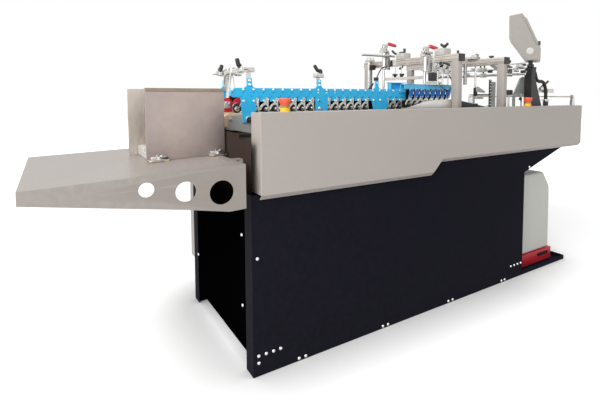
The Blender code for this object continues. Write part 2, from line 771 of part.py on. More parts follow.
def compressor():
    """Closed pump unit: red base band with a slot and a light housing with a chamfered top."""
    floor = SHEET + TOUCH
    band = add_block(
        "compressor_band",
        (COMPRESSOR_LEFT - BAND_STEP, COMPRESSOR_FRONT - BAND_STEP, floor),
        (COMPRESSOR_RIGHT + BAND_TAIL, COMPRESSOR_BACK + BAND_STEP, COMPRESSOR_BAND_TOP),
        "red",
    )
    slot = add_block(
        "band slot",
        (COMPRESSOR_LEFT + BAND_SLOT_LEFT, COMPRESSOR_FRONT - 2 * BAND_STEP, BAND_SLOT_LOW),
        (COMPRESSOR_RIGHT - BAND_SLOT_RIGHT, COMPRESSOR_FRONT + BAND_SLOT_DEPTH, BAND_SLOT_HIGH),
    )
    cut(band, slot)
    outline = [
        (COMPRESSOR_LEFT, COMPRESSOR_BAND_TOP + TOUCH),
        (COMPRESSOR_RIGHT, COMPRESSOR_BAND_TOP + TOUCH),
        (COMPRESSOR_RIGHT - 0.004, COMPRESSOR_TOP - CHAMFER_DOWN),
        (COMPRESSOR_RIGHT - CHAMFER_ACROSS, COMPRESSOR_TOP),
        (COMPRESSOR_LEFT, COMPRESSOR_TOP),
    ]
    add_prism("compressor_housing", [outline], "Y", COMPRESSOR_FRONT, COMPRESSOR_BACK, "light grey")


def delivery_tray():
    """Sloped sheet tray with tapered side flanges, three holes in each, and two tabs."""
    outline = [
        (TRAY_LEFT, TRAY_LEFT_TOP),
        (TRAY_LEFT, TRAY_LEFT_TOP - TRAY_END_FLANGE),
        TRAY_KNEE,
        TRAY_HEEL,
        (TRAY_RIGHT, TRAY_HEEL_END),
        (TRAY_RIGHT, TRAY_RIGHT_TOP),
    ]
    depth = TRAY_BACK - TRAY_FRONT
    bm = bmesh.new()
    near = [bm.verts.new((x, 0.0, z)) for x, z in outline]
    far = [bm.verts.new((x, depth, z)) for x, z in outline]
    bm.faces.new(near)
    bm.faces.new(far[::-1])
    bm.faces.new((near[0], near[-1], far[-1], far[0]))
    bm.faces.new((near[1], near[0], far[0], far[1]))
    bmesh.ops.recalc_face_normals(bm, faces=bm.faces)
    bm.faces.ensure_lookup_table()
    if bm.faces[0].normal.y > 0:
        bmesh.ops.reverse_faces(bm, faces=bm.faces)
    tray = add_object("delivery_tray", mesh_from(bm, "delivery_tray"), "grey cover", (0.0, TRAY_FRONT, 0.0))
    wall = tray.modifiers.new("thickness", "SOLIDIFY")
    wall.thickness = TRAY_SHEET
    wall.offset = -1.0
    wall.use_even_offset = True
    apply_modifiers(tray)
    tabs = []
    for y in TRAY_TABS:
        path = [
            (TRAY_RIGHT - TRAY_TAB_WIDTH, tray_height(TRAY_RIGHT - TRAY_TAB_WIDTH) - TRAY_SHEET / 2),
            (-TOUCH - SHEET, TRAY_RIGHT_TOP - TRAY_SHEET / 2),
            (-TOUCH - SHEET, TRAY_HEEL_END + TRAY_TAB_WIDTH),
        ]
        tabs.append(add_prism("tray tab", [strip(path, SHEET)], "Y", y, y + TRAY_TAB_WIDTH))
    join(tray, tabs)
    for number, (x, z, radius) in enumerate(TRAY_HOLES):
        hole = add_rod(
            "tray hole %d" % number,
            (x, TRAY_FRONT - 0.01, z),
            (x, TRAY_BACK + 0.01, z),
            radius,
            sides=2 * CIRCLE,
            group=CUTTERS,
        )
        cut(tray, hole)


def guide_foot(x, face, side):
    """Small foot plate at a guide's lower edge, held by a wing screw."""
    length, width, height = GUIDE_FOOT
    level = tray_height(x) + TOUCH
    rise = (TRAY_RIGHT_TOP - TRAY_LEFT_TOP) / (TRAY_RIGHT - TRAY_LEFT)
    low = min(face, face + side * width)
    high = max(face, face + side * width)
    half = length / 2
    outline = [
        (x - half, level - rise * half),
        (x + half, level + rise * half),
        (x + half, level + rise * half + height),
        (x - half, level - rise * half + height),
    ]
    return add_prism("guide foot", [outline], "Y", low, high)


def tray_guides():
    """Two upright aluminium sheets on the tray, each with a top flange and two feet."""
    floor = [
        (GUIDE_LEFT - TRAY_SHEET, TRAY_HEEL_END),
        (GUIDE_RIGHT + TRAY_SHEET, TRAY_HEEL_END),
        (GUIDE_RIGHT + TRAY_SHEET, tray_height(GUIDE_RIGHT + TRAY_SHEET) + GUIDE_LIFT),
        (GUIDE_LEFT - TRAY_SHEET, tray_height(GUIDE_LEFT - TRAY_SHEET) + GUIDE_LIFT),
    ]
    guides = (("near_tray_guide", NEAR_GUIDE_FACE, -1.0), ("far_tray_guide", FAR_GUIDE_FACE, 1.0))
    for name, face, side in guides:
        path = [
            (face - side * GUIDE_TOP_FLANGE, GUIDE_TOP - GUIDE_SHEET),
            (face - side * GUIDE_SHEET, GUIDE_TOP - GUIDE_SHEET),
            (face - side * GUIDE_SHEET, tray_height(GUIDE_LEFT)),
        ]
        profile = strip(path, side * GUIDE_SHEET)
        guide = add_prism(name, [profile], "X", GUIDE_LEFT, GUIDE_RIGHT, "aluminium")
        trim = add_prism(name + " trim", [floor], "Y", face - 0.020, face + 0.020)
        guide.modifiers.new("trim", "BOOLEAN").object = trim
        apply_modifiers(guide)
        bpy.data.objects.remove(trim)
        inner = face - side * GUIDE_SHEET / 2
        pieces = [
            guide_foot(GUIDE_LEFT + GUIDE_FOOT_INSET, inner, side),
            guide_foot(GUIDE_RIGHT - GUIDE_FOOT_INSET, inner, side),
        ]
        if side > 0:
            length, width, height = GUIDE_BLOCK
            left = GUIDE_LEFT + GUIDE_SHEET
            low = tray_height(left + length) + GUIDE_LIFT
            pieces.append(
                add_block("guide stop", (left, face - width, low), (left + length, inner, low + height))
            )
        join(guide, pieces)


def belt_middle():
    return BELT_LEVEL - BELT_THICKNESS - PULLEY_RADIUS


def belt_loop(name, left, right, front, back, finish):
    """A flat belt in one closed loop round two end pulleys."""
    outer = PULLEY_RADIUS + BELT_THICKNESS
    inner = PULLEY_RADIUS + TOUCH
    gap = BELT_THICKNESS - TOUCH
    outlines = [
        stadium(left, right, belt_middle(), outer),
        stadium(left + gap, right - gap, belt_middle(), inner),
    ]
    return add_prism(name, outlines, "Y", front, back, finish)


def carrier_plate(left, right):
    """Side plate of a belt carrier: cut left nose, sloped lower edge, feet on the deck."""
    bottom = END_PANEL_TOP + 0.001
    blunt, slope, foot = NOSE_INSETS
    brow, lip, chin, jaw = NOSE_DROPS
    points = [
        (left + slope, BELT_LEVEL - brow),
        (left + blunt, BELT_LEVEL - lip),
        (left + blunt, BELT_LEVEL - chin),
        (left + slope, BELT_LEVEL - jaw),
        (left + foot, bottom),
    ]
    for leg in CARRIER_LEGS:
        points += [(leg, bottom), (leg, deck_top() + TOUCH)]
        points += [(leg + CARRIER_LEG_WIDTH, deck_top() + TOUCH), (leg + CARRIER_LEG_WIDTH, bottom)]
    tail = right - PLATE_THICKNESS
    points += [(tail - lip, bottom), (tail, bottom + lip), (tail, BELT_LEVEL - brow)]
    return points


def lower_carriers():
    """Two belt carriers: side plates joined by the slider bed and its end pulleys."""
    for name, face, side in (("near", NEAR_PLATE_FACE, 1.0), ("far", FAR_PLATE_FACE, -1.0)):
        step = PLATE_THICKNESS + BELT_WIDTH + 2 * BELT_SIDE_GAP
        plate_ranges = []
        for start in (face, face + side * step):
            end = start + side * PLATE_THICKNESS
            plate_ranges.append((min(start, end), max(start, end)))
        outline = carrier_plate(BELT_LEFT, BELT_RIGHT)
        first, second = sorted(plate_ranges)
        carrier = add_prism(name + "_lower_carrier", [outline], "Y", *first, "grey plate")
        other = add_prism("inner plate", [outline], "Y", *second)
        core = stadium(
            BELT_LEFT + BELT_THICKNESS, BELT_RIGHT - BELT_THICKNESS, belt_middle(), PULLEY_RADIUS
        )
        sink = PLATE_THICKNESS / 3
        bed = add_prism("slider bed", [core], "Y", first[1] - sink, second[0] + sink)
        join(carrier, [other, bed])
        front = first[1] + BELT_SIDE_GAP
        back = second[0] - BELT_SIDE_GAP
        belt_loop(name + "_lower_belt", BELT_LEFT, BELT_RIGHT, front, back, "belt")


def feeder():
    """Feeder bed with its one wide belt."""
    core = stadium(
        FEEDER_LEFT + BELT_THICKNESS, FEEDER_RIGHT - BELT_THICKNESS, belt_middle(), PULLEY_RADIUS
    )
    raised = stadium(FEEDER_LEFT, FEEDER_RIGHT, belt_middle(), PULLEY_RADIUS + BELT_THICKNESS)
    near_end = FEEDER_BELT_FRONT - BELT_SIDE_GAP
    bed = add_prism("feeder_bed", [raised], "Y", FEEDER_FRONT, near_end, "aluminium")
    far = add_prism("far bed", [raised], "Y", FEEDER_BELT_BACK + BELT_SIDE_GAP, FEEDER_BACK)
    middle = add_prism("bed core", [core], "Y", FEEDER_BELT_FRONT - 0.004, FEEDER_BELT_BACK + 0.004)
    low = deck_top() + TOUCH
    legs = []
    for y in (FEEDER_FRONT, FEEDER_BACK - PLATE_THICKNESS):
        high = (FEEDER_LEG_RIGHT, y + PLATE_THICKNESS, belt_middle())
        legs.append(add_block("feeder leg", (FEEDER_LEG_LEFT, y, low), high))
    join(bed, [far, middle] + legs)
    belt_loop("feeder_belt", FEEDER_LEFT, FEEDER_RIGHT, FEEDER_BELT_FRONT, FEEDER_BELT_BACK, "feeder belt")


def roller_places(right):
    """X of each press roller that hangs between the carrier's drops."""
    places = []
    x = FIRST_ROLLER
    while x < right - ROLLER_PITCH / 2:
        if all(x < low - DROP_MARGIN or x > high + DROP_MARGIN for low, high in DROPS):
            places.append(x)
        x += ROLLER_PITCH
    return places


def upper_plate_outline(right, places, humps):
    """Carrier plate: humps on top, drops below, and a window over each roller arm."""
    edge = [(CARRIER_LEFT + CARRIER_NOSE, CARRIER_WINDOW_TOP)]
    cuts = []
    for x in places:
        cuts.append((x - WINDOW_WIDTH / 2, x + WINDOW_WIDTH / 2, CARRIER_WINDOW_TOP))
    for (low, high), (foot_low, foot_high, foot) in zip(DROPS, DROP_FEET):
        cuts.append((low, high, foot, foot_low, foot_high))
    for item in sorted(cuts):
        if len(item) == 3:
            low, high, top = item
            edge += [(low, CARRIER_EDGE), (low, top), (high, top), (high, CARRIER_EDGE)]
        else:
            low, high, foot, foot_low, foot_high = item
            level = CARRIER_WINDOW_TOP if low == DROPS[0][0] else CARRIER_EDGE
            edge += [(low, level), (foot_low, foot), (foot_high, foot)]
            edge += [(high, DROP_KNEE), (high, CARRIER_EDGE)]
    edge += [(right, CARRIER_EDGE), (right, CARRIER_TOP)]
    half = HUMP_WIDTH / 2
    reach = half + HUMP_FILLET
    level = CARRIER_TOP + HUMP_FILLET
    for x, top in reversed(humps):
        edge += arc((x + reach, level), HUMP_FILLET, 270, 180, 3)
        edge += [
            (x + half, top - HUMP_CORNER),
            (x + half - HUMP_CORNER, top),
            (x - half + HUMP_CORNER, top),
            (x - half, top - HUMP_CORNER),
        ]
        edge += arc((x - reach, level), HUMP_FILLET, 0, -90, 3)
    edge += arc((CARRIER_LEFT + CARRIER_NOSE, CARRIER_TOP - CARRIER_NOSE), CARRIER_NOSE, 90, 260, 8)
    return edge


def roller_arm(x, front, back):
    """One sprung arm: a hooked lever from the carrier's window down to its roller."""
    path = [(x + across, CARRIER_EDGE + up) for across, up in ARM_PATH]
    return add_prism("roller arm", [strip(path, ARM_WIDTH)], "Y", front, back)


def end_bracket():
    """Upright channel with a top flange on the near carrier's right end, open to the front."""
    front = NEAR_PLATE_FACE - PLATE_THICKNESS
    back = front + BRACKET_DEPTH
    path = [(BRACKET_LEFT, front), (BRACKET_LEFT, back), (BRACKET_RIGHT, back), (BRACKET_RIGHT, front)]
    low = CARRIER_TOP - BRACKET_ROOT
    channel = add_prism("end bracket", [strip(path[::-1], BRACKET_SHEET)], "Z", low, BRACKET_TOP)
    flange_low = (BRACKET_LEFT, front, BRACKET_TOP - BRACKET_SHEET)
    flange_high = (CARRIER_RIGHT, back + BRACKET_DEPTH / 2, BRACKET_TOP)
    return [channel, add_block("bracket flange", flange_low, flange_high)]


def press_rollers(name, places, rail_left, rail_right, face, side, rail_low, rail_high):
    """A rail behind a carrier plate with one arm and one roller at each place."""
    rail_back = face + side * 0.007
    rail = add_block(
        name,
        (rail_left, min(face, rail_back), rail_low),
        (rail_right, max(face, rail_back), rail_high),
        "steel",
    )
    pieces = []
    centre_z = BELT_LEVEL + ROLLER_LIFT + ROLLER_RADIUS
    arm_start = face + side * 0.001
    arm_end = face + side * 0.006
    roller_start = face + side * 0.005
    roller_end = roller_start + side * ROLLER_WIDTH
    for x in places:
        pieces.append(roller_arm(x, min(arm_start, arm_end), max(arm_start, arm_end)))
        pieces.append(
            add_rod(
                "roller",
                (x + 0.007, min(roller_start, roller_end), centre_z),
                (x + 0.007, max(roller_start, roller_end), centre_z),
                ROLLER_RADIUS,
            )
        )
    return join(rail, pieces)


def upper_carriers():
    rail_low = CARRIER_WINDOW_TOP + 0.001
    rail_high = CARRIER_WINDOW_TOP + 0.013
    for name, face, side, right, humps in (
        ("near", NEAR_PLATE_FACE - TOUCH, 1.0, CARRIER_RIGHT, HUMPS),
        ("far", FAR_PLATE_FACE + TOUCH, -1.0, FAR_CARRIER_RIGHT, FAR_HUMPS),
    ):
        places = roller_places(right)
        low, high = sorted((face, face - side * PLATE_THICKNESS))
        outline = upper_plate_outline(right, places, humps)
        carrier = add_prism(name + "_upper_carrier", [outline], "Y", low, high, "blue plate")
        if name == "near":
            join(carrier, end_bracket())
        rail_face = face + side * TOUCH
        rail_left = places[0] - 0.010
        rail_right = right - 0.006
        press_rollers(
            name + "_press_rollers", places, rail_left, rail_right, rail_face, side, rail_low, rail_high
        )


def middle_carrier():
    """Short channel under the delivery gantry, with its own press rollers."""
    wall = PLATE_THICKNESS / 2
    path = [
        (MIDDLE_FRONT, MIDDLE_BOTTOM),
        (MIDDLE_FRONT, MIDDLE_TOP),
        (MIDDLE_BACK, MIDDLE_TOP),
        (MIDDLE_BACK, MIDDLE_BOTTOM),
    ]
    outline = strip(path[::-1], wall)
    add_prism("middle_upper_carrier", [outline], "X", MIDDLE_LEFT, MIDDLE_RIGHT, "blue plate")
    places = [FIRST_MIDDLE_ROLLER + ROLLER_PITCH * number for number in range(MIDDLE_ROLLERS)]
    press_rollers(
        "middle_press_rollers",
        places,
        CARRIER_RIGHT + 0.012,
        MIDDLE_RIGHT - 0.006,
        MIDDLE_BACK + TOUCH,
        1.0,
        CARRIER_WINDOW_TOP + 0.001,
        MIDDLE_TOP - 0.004,
    )


def lever(name, lean, parent):
    """Black clamping lever: a hub with a handle that leans up and out."""
    top = (0.0, 0.0, LEVER_HUB_HEIGHT)
    hub = add_rod(name, (0.0, 0.0, TOUCH), top, LEVER_HUB_RADIUS, "black", parent=parent)
    root = (0.0, 0.0, LEVER_HUB_HEIGHT * 0.57)
    arm = add_rod("lever arm", root, lean, LEVER_RADIUS, parent=parent, end_radius=LEVER_RADIUS * 1.24)
    return join(hub, [arm])


def block_round(name, centre, halves):
    """A box given by its centre and half its size each way."""
    centre = Vector(centre)
    return add_block(name, centre - Vector(halves), centre + Vector(halves))


def cross_bar():
    """Bar across the delivery end, its posts, clamps and levers, and the kicker's rod."""
    x = HUMPS[0][0]
    z = CROSS_BAR_HEIGHT
    start = (x, CROSS_BAR_FRONT, z)
    end = (x, CROSS_BAR_BACK, z)
    bar = add_rod("delivery_cross_bar", start, end, CROSS_BAR_RADIUS, "steel", sides=16)
    pieces = []
    low = CARRIER_TOP - 0.010
    near = NEAR_PLATE_FACE
    far = FAR_PLATE_FACE - TONGUE_DEPTH
    half = TONGUE_WIDTH / 2
    for face in (near, far):
        pieces.append(add_block("tongue", (x - half, face, low), (x + half, face + TONGUE_DEPTH, z)))
        pieces.append(block_round("bar clamp", (x, face + TONGUE_DEPTH / 2, z), POST_CLAMP_HALF))
    for y in LEVER_PLACES:
        pieces.append(block_round("lever clamp", (x, y, z), LEVER_CLAMP_HALF))
    pieces.append(block_round("rod clamp", (x, KICKER_CLAMP, z), ROD_CLAMP_HALF))
    join(bar, pieces)
    for number, y in enumerate(LEVER_PLACES):
        place = (x, y, z + LEVER_CLAMP_HALF[2])
        axis = new_empty("lever_axis_%d" % (number + 1), place, MACHINE)
        lever("clamp_lever_%d" % (number + 1), (-0.010, -0.004, 0.036), axis)


def post_clamp():
    """Small clamp on the near carrier's second hump, with its own lever."""
    x, top = HUMPS[1]
    near = NEAR_PLATE_FACE
    half = TONGUE_WIDTH / 2 - 0.001
    low = (x - half, near, CARRIER_TOP - 0.004)
    clamp = add_block("post_clamp", low, (x + half, near + TONGUE_DEPTH, top + 0.012), "steel")
    across = POST_CLAMP_HALF[0]
    head_top = top + 0.0235
    head = add_block(
        "clamp head",
        (x - across, near - TONGUE_DEPTH, top + TONGUE_DEPTH),
        (x + across, near + 2 * TONGUE_DEPTH, head_top),
    )
    join(clamp, [head])
    place = (x + 2 * half, near + TONGUE_DEPTH / 2, head_top)
    axis = new_empty("lever_axis_3", place, MACHINE)
    lever("clamp_lever_3", (-0.020, 0.0, 0.040), axis)


def kicker():
    """Red plate with two lobes, its slanted rod, and a small wheel over the near belt."""
    x, z = KICKER_WHEEL_PLACE
    low = BELT_LEVEL + 0.004
    outline = [(x - 0.046, low), (x + 0.010, low)]
    outline += [(x + across, z + up) for across, up in KICKER_OUTLINE]
    face = KICKER_FACE
    back = face + KICKER_THICKNESS
    plate = add_prism("kicker_plate", [outline], "Y", face, back, "red")
    axle = add_rod(
        "kicker axle",
        (x, face - KICKER_WHEEL_WIDTH - 0.003, z),
        (x, face + KICKER_THICKNESS / 2, z),
        KICKER_AXLE_RADIUS,
    )
    join(plate, [axle])
    rod_x = HUMPS[0][0]
    width, depth, height = KICKER_BLOCK
    block_low = z + 0.006
    block_left = x - 0.040
    rod = add_block(
        "kicker_rod",
        (block_left, back + TOUCH, block_low),
        (block_left + width, back + depth, block_low + height),
        "steel",
    )
    lean = add_rod(
        "slanted rod",
        (block_left + width / 2, back + depth / 2, block_low + height - 0.004),
        (rod_x, KICKER_CLAMP, CROSS_BAR_HEIGHT - BAR_CLAMP_HALF - KICKER_ROD_RADIUS * 0.9),
        KICKER_ROD_RADIUS,
    )
    join(rod, [lean])
    middle = face - KICKER_WHEEL_WIDTH / 2 - 0.001
    axis = new_empty("kicker_wheel_axis", (x, middle, z), MACHINE)
    half = KICKER_WHEEL_WIDTH / 2
    start = (0.0, -half, 0.0)
    end = (0.0, half, 0.0)
    wheel = add_rod("kicker_wheel", start, end, KICKER_WHEEL_RADIUS, "black", CIRCLE, axis)
    bore = add_rod(
        "wheel bore",
        (0.0, -half - 0.002, 0.0),
        (0.0, half + 0.002, 0.0),
        KICKER_AXLE_RADIUS + RUNNING,
        sides=CIRCLE,
        parent=axis,
        group=CUTTERS,
    )
    cut(wheel, bore)


def beam_profile(left, bottom):
    """Aluminium extrusion with a slot along each side, as (x, z) points."""
    width = BEAM_WIDTH
    height = GANTRY_BEAM_TOP - GANTRY_BEAM_BOTTOM
    slot, depth = BEAM_SLOT
    half = slot / 2
    middle_x = left + width / 2
    middle_z = bottom + height / 2
    right = left + width
    top = bottom + height
    return [
        (left, bottom), (middle_x - half, bottom), (middle_x - half, bottom + depth),
        (middle_x + half, bottom + depth), (middle_x + half, bottom), (right, bottom),
        (right, middle_z - half), (right - depth, middle_z - half),
        (right - depth, middle_z + half), (right, middle_z + half), (right, top),
        (middle_x + half, top), (middle_x + half, top - depth),
        (middle_x - half, top - depth), (middle_x - half, top), (left, top),
        (left, middle_z + half), (left + depth, middle_z + half),
        (left + depth, middle_z - half), (left, middle_z - half),
    ]


def gantries():
    """Each gantry: a near post on the frame beam, a far post on the rear cover, a slotted beam."""
    width, depth = POST_SIZE
    weld = (GANTRY_BEAM_TOP - GANTRY_BEAM_BOTTOM) / 8
    for name, left in zip(GANTRY_NAMES, GANTRY_LEFT):
        back = FAR_POST_FRONT + depth
        outline = beam_profile(left, GANTRY_BEAM_BOTTOM)
        beam = add_prism(name, [outline], "Y", NEAR_POST_FRONT, back, "grey cover")
        pieces = []
        for front, low in ((NEAR_POST_FRONT, beam_top() + TOUCH), (FAR_POST_FRONT, TABLE_TOP + TOUCH)):
            high = (left + width, front + depth, GANTRY_BEAM_BOTTOM + weld)
            pieces.append(add_block("post", (left, front, low), high))
        if left == GANTRY_LEFT[0]:
            for start in SADDLE_STARTS:
                pieces += saddle_clamp(left, start, start + SADDLE_LENGTH)
        join(beam, pieces)


def saddle_clamp(left, start, end):
    """Block that sits on a beam, with a cheek down each side of it."""
    low = GANTRY_BEAM_TOP - SADDLE_SINK
    high = GANTRY_BEAM_TOP + SADDLE_RISE
    right = left + BEAM_WIDTH
    pieces = [add_block("saddle", (left - SADDLE_SINK, start, low), (right + SADDLE_CHEEK, end, high))]
    bottom = GANTRY_BEAM_BOTTOM - SADDLE_SINK
    for edge in (left, right):
        cheek_low = (edge - SADDLE_CHEEK, start + SADDLE_CHEEK, bottom)
        cheek_high = (edge + SADDLE_CHEEK, start + SADDLE_CHEEK + SADDLE_STRAP, low + SADDLE_CHEEK)
        pieces.append(add_block("saddle cheek", cheek_low, cheek_high))
    return pieces


def rack_head(name, place, side_name):
    """Slide block on the delivery gantry with a rack, a rod down to its carrier and a clamp base."""
    y, top, rod_end = place
    right = GANTRY_LEFT[0] - TOUCH
    left = right - HEAD_DEPTH
    half = HEAD_WIDTH / 2
    middle = (left + right) / 2
    head = add_block(name, (left, y - half, HEAD_BOTTOM), (right, y + half, top), "aluminium")
    rack = add_block(
        "rack",
        (middle, y - half - 0.004, RACK_BOTTOM),
        (middle + RACK_WIDTH, y - half + 0.002, top - RACK_INSET),
    )
    rod_top = (middle, y, HEAD_BOTTOM + RACK_INSET)
    rod = add_rod("head rod", rod_top, (middle, y, rod_end), HEAD_ROD_RADIUS)
    pieces = [rack, rod]
    pivot_z = top + TOGGLE_PIVOT_LIFT
    for offset in (-EAR_REACH, EAR_REACH - EAR_THICKNESS):
        ear_low = (middle - EAR_HALF_WIDTH, y + offset, top - EAR_THICKNESS)
        ear_high = (middle + EAR_HALF_WIDTH, y + offset + EAR_THICKNESS, pivot_z + 0.007)
        pieces.append(add_block("clamp ear", ear_low, ear_high))
    pin_start = (middle, y - EAR_REACH + 0.001, pivot_z)
    pin_end = (middle, y + EAR_REACH - 0.001, pivot_z)
    pieces.append(add_rod("clamp pin", pin_start, pin_end, TOGGLE_PIN_RADIUS))
    if side_name == "far":
        foot_low = (middle - 0.012, FAR_PLATE_FACE + PLATE_THICKNESS + 2 * TOUCH, rod_end - 0.002)
        foot_high = (middle + 0.012, y + HEAD_ROD_RADIUS + 0.002, rod_end + 0.030)
        pieces.append(add_block("rod foot", foot_low, foot_high))
    join(head, pieces)
    axis = new_empty(side_name + "_toggle_axis", (middle, y, pivot_z), MACHINE)
    length, half_width, half_height = HANDLE_ROOT
    handle = add_block(
        side_name + "_toggle_handle",
        (-half_height, -half_width, -half_height),
        (length, half_width, half_height),
        "red",
        parent=axis,
    )
    stem_end = (STEM_REACH, 0.0, STEM_RISE)
    stem = add_rod("handle stem", (length / 2, 0.0, 0.0), stem_end, STEM_RADIUS, parent=axis)
    grip = add_rod(
        "handle grip",
        (GRIP_START, 0.0, GRIP_RISE),
        (GRIP_START + GRIP_LENGTH, 0.0, GRIP_END_RISE),
        GRIP_RADIUS,
        parent=axis,
        end_radius=GRIP_RADIUS * 0.8,
    )
    join(handle, [stem, grip])
    eye = add_rod(
        side_name + " toggle eye",
        (0.0, -0.006, 0.0),
        (0.0, 0.006, 0.0),
        TOGGLE_PIN_RADIUS + RUNNING,
        parent=axis,
        group=CUTTERS,
    )
    cut(handle, eye)


def gantry_bars():
    """Square bar under the delivery gantry, and two shafts hung from the feeder gantry."""
    right = GANTRY_LEFT[0] - TOUCH
    left = right - HEAD_DEPTH
    middle = (left + right) / 2
    half = LOWER_BAR_SIZE / 2
    front = NEAR_HEAD[0] + HEAD_ROD_RADIUS + TOUCH
    back = FAR_HEAD[0] - HEAD_ROD_RADIUS - TOUCH
    bar = add_block(
        "lower_cross_bar",
        (middle - half, front, LOWER_BAR_HEIGHT - half),
        (middle + half, back, LOWER_BAR_HEIGHT + half),
        "aluminium",
    )
    knobs = []
    knob_top = LOWER_BAR_HEIGHT + BAR_KNOB_RISE
    for y in BAR_KNOBS:
        root = (middle, y, LOWER_BAR_HEIGHT)
        knobs.append(add_rod("bar knob", root, (middle, y, knob_top), BAR_KNOB_RADIUS))
    join(bar, knobs)
    link_left = GANTRY_LEFT[1] + BEAM_WIDTH + TOUCH
    shafts = add_rod(
        "cross_shafts",
        (SHAFT_X, SHAFT_FRONT, SHAFT_HEIGHTS[0]),
        (SHAFT_X, SHAFT_BACK, SHAFT_HEIGHTS[0]),
        SHAFT_RADII[0],
        "steel",
    )
    low_start = (SHAFT_X, SHAFT_FRONT, SHAFT_HEIGHTS[1])
    low_end = (SHAFT_X, SHAFT_BACK, SHAFT_HEIGHTS[1])
    pieces = [add_rod("lower shaft", low_start, low_end, SHAFT_RADII[1])]
    for y in SHAFT_LINKS:
        path = [
            (link_left, GANTRY_BEAM_TOP - 0.004),
            (link_left, GANTRY_BEAM_BOTTOM - 0.002),
            (SHAFT_X - LINK_INSET, SHAFT_HEIGHTS[1] - LINK_WALL),
            (SHAFT_X + LINK_WALL, SHAFT_HEIGHTS[1] - LINK_WALL),
            (SHAFT_X + LINK_WALL, SHAFT_HEIGHTS[0] + LINK_WALL),
            (link_left + LINK_WALL, GANTRY_BEAM_TOP - 0.004),
        ]
        pieces.append(add_prism("shaft link", [path], "Y", y, y + SHAFT_LINK_WIDTH))
    join(shafts, pieces)


def feeder_fittings():
    """Gate column, stack side guides and the rest rod at the right end."""
    top = BELT_LEVEL + TOUCH
    half = GATE_SIZE / 2
    gate = add_block(
        "gate_column", (GATE_X, GATE_Y - half, top), (GATE_X + GATE_SIZE, GATE_Y + half, GATE_TOP), "black"
    )
    plate = add_block(
        "gate plate",
        (GATE_X + GATE_PLATE_LEFT, GATE_Y - 0.004, top),
        (GATE_X + GATE_PLATE_RIGHT, GATE_Y + 0.002, GATE_TOP - 0.012),
    )
    join(gate, [plate])
    inset, width, height = STACK_FOOT
    near, far = STACK_GUIDE_FACES
    left = STACK_GUIDE_LEFT
    right = STACK_GUIDE_RIGHT
    outline = [
        (left, top),
        (left + STACK_LEG, top),
        (left + STACK_LEG, STACK_SHEET_BOTTOM),
        (right - STACK_LEG, STACK_SHEET_BOTTOM),
        (right - STACK_LEG, top),
        (right, top),
        (right, STACK_GUIDE_TOP),
        (left + STACK_GUIDE_CORNER, STACK_GUIDE_TOP),
        (left, top + STACK_GUIDE_CORNER),
    ]
    guide = add_prism("near_stack_guide", [outline], "Y", near, near + STACK_GUIDE_SHEET, "aluminium")
    foot_low = (left + STACK_LEG / 2, near - width, top)
    foot_high = (right - STACK_LEG / 2, near + 0.002, top + height)
    join(guide, [add_block("guide foot", foot_low, foot_high)])
    rail_low = (STACK_GUIDE_LEFT, far, STACK_RAIL_TOP - STACK_RAIL_DEPTH)
    rail_high = (STACK_GUIDE_RIGHT, far + STACK_RAIL_DEPTH, STACK_RAIL_TOP)
    rail = add_block("far_stack_guide", rail_low, rail_high, "aluminium")
    pieces = []
    for x in (STACK_GUIDE_LEFT + inset, STACK_GUIDE_RIGHT - inset - width):
        pieces.append(add_block("rail foot", (x, far, top), (x + width, far + width, top + height)))
        post_high = (x + width, far + STACK_GUIDE_SHEET, STACK_RAIL_TOP)
        pieces.append(add_block("rail post", (x, far, top), post_high))
    join(rail, pieces)
    rod = add_rod(
        "rest_rod",
        (REST_ROD_X, REST_BRACKET_FRONT + 0.004, REST_ROD_HEIGHT),
        (REST_ROD_X, REST_BRACKET_BACK + 0.008, REST_ROD_HEIGHT),
        REST_ROD_RADIUS,
        "steel",
    )
    brackets = []
    low = TABLE_TOP + TOUCH
    for y in (REST_BRACKET_FRONT, REST_BRACKET_BACK):
        outline = [
            (REST_ROD_X - REST_BRACKET_FOOT, low),
            (REST_ROD_X + REST_BRACKET_FOOT, low),
            (REST_ROD_X + REST_BRACKET_HEAD, REST_ROD_HEIGHT + REST_BRACKET_RISE),
            (REST_ROD_X - REST_BRACKET_HEAD, REST_ROD_HEIGHT + REST_BRACKET_RISE),
        ]
        brackets.append(add_prism("rest bracket", [outline], "Y", y, y + REST_BRACKET_WIDTH))
    join(rod, brackets)


def guide_plates():
    """Bare sheet at the folding section's entry and the black wedge beside it."""
    low = beam_top() + TOUCH
    outline = [
        (ENTRY_PLATE_LEFT, low),
        (ENTRY_PLATE_RIGHT, low),
        (ENTRY_PLATE_RIGHT, ENTRY_PLATE_TOP),
        (ENTRY_PLATE_LEFT + 0.110, ENTRY_PLATE_TOP - PLATE_THICKNESS),
        (ENTRY_PLATE_LEFT, low + 0.004),
    ]
    front = ENTRY_PLATE_FRONT
    add_prism("entry_plate", [outline], "Y", front, front + SHEET, "aluminium")
    wedge = [(WEDGE_LEFT, low), (WEDGE_RIGHT, low), (WEDGE_RIGHT, low + 0.003), (WEDGE_LEFT, WEDGE_TOP)]
    add_prism("wedge_plate", [wedge], "Y", front, front + PLATE_THICKNESS, "black")


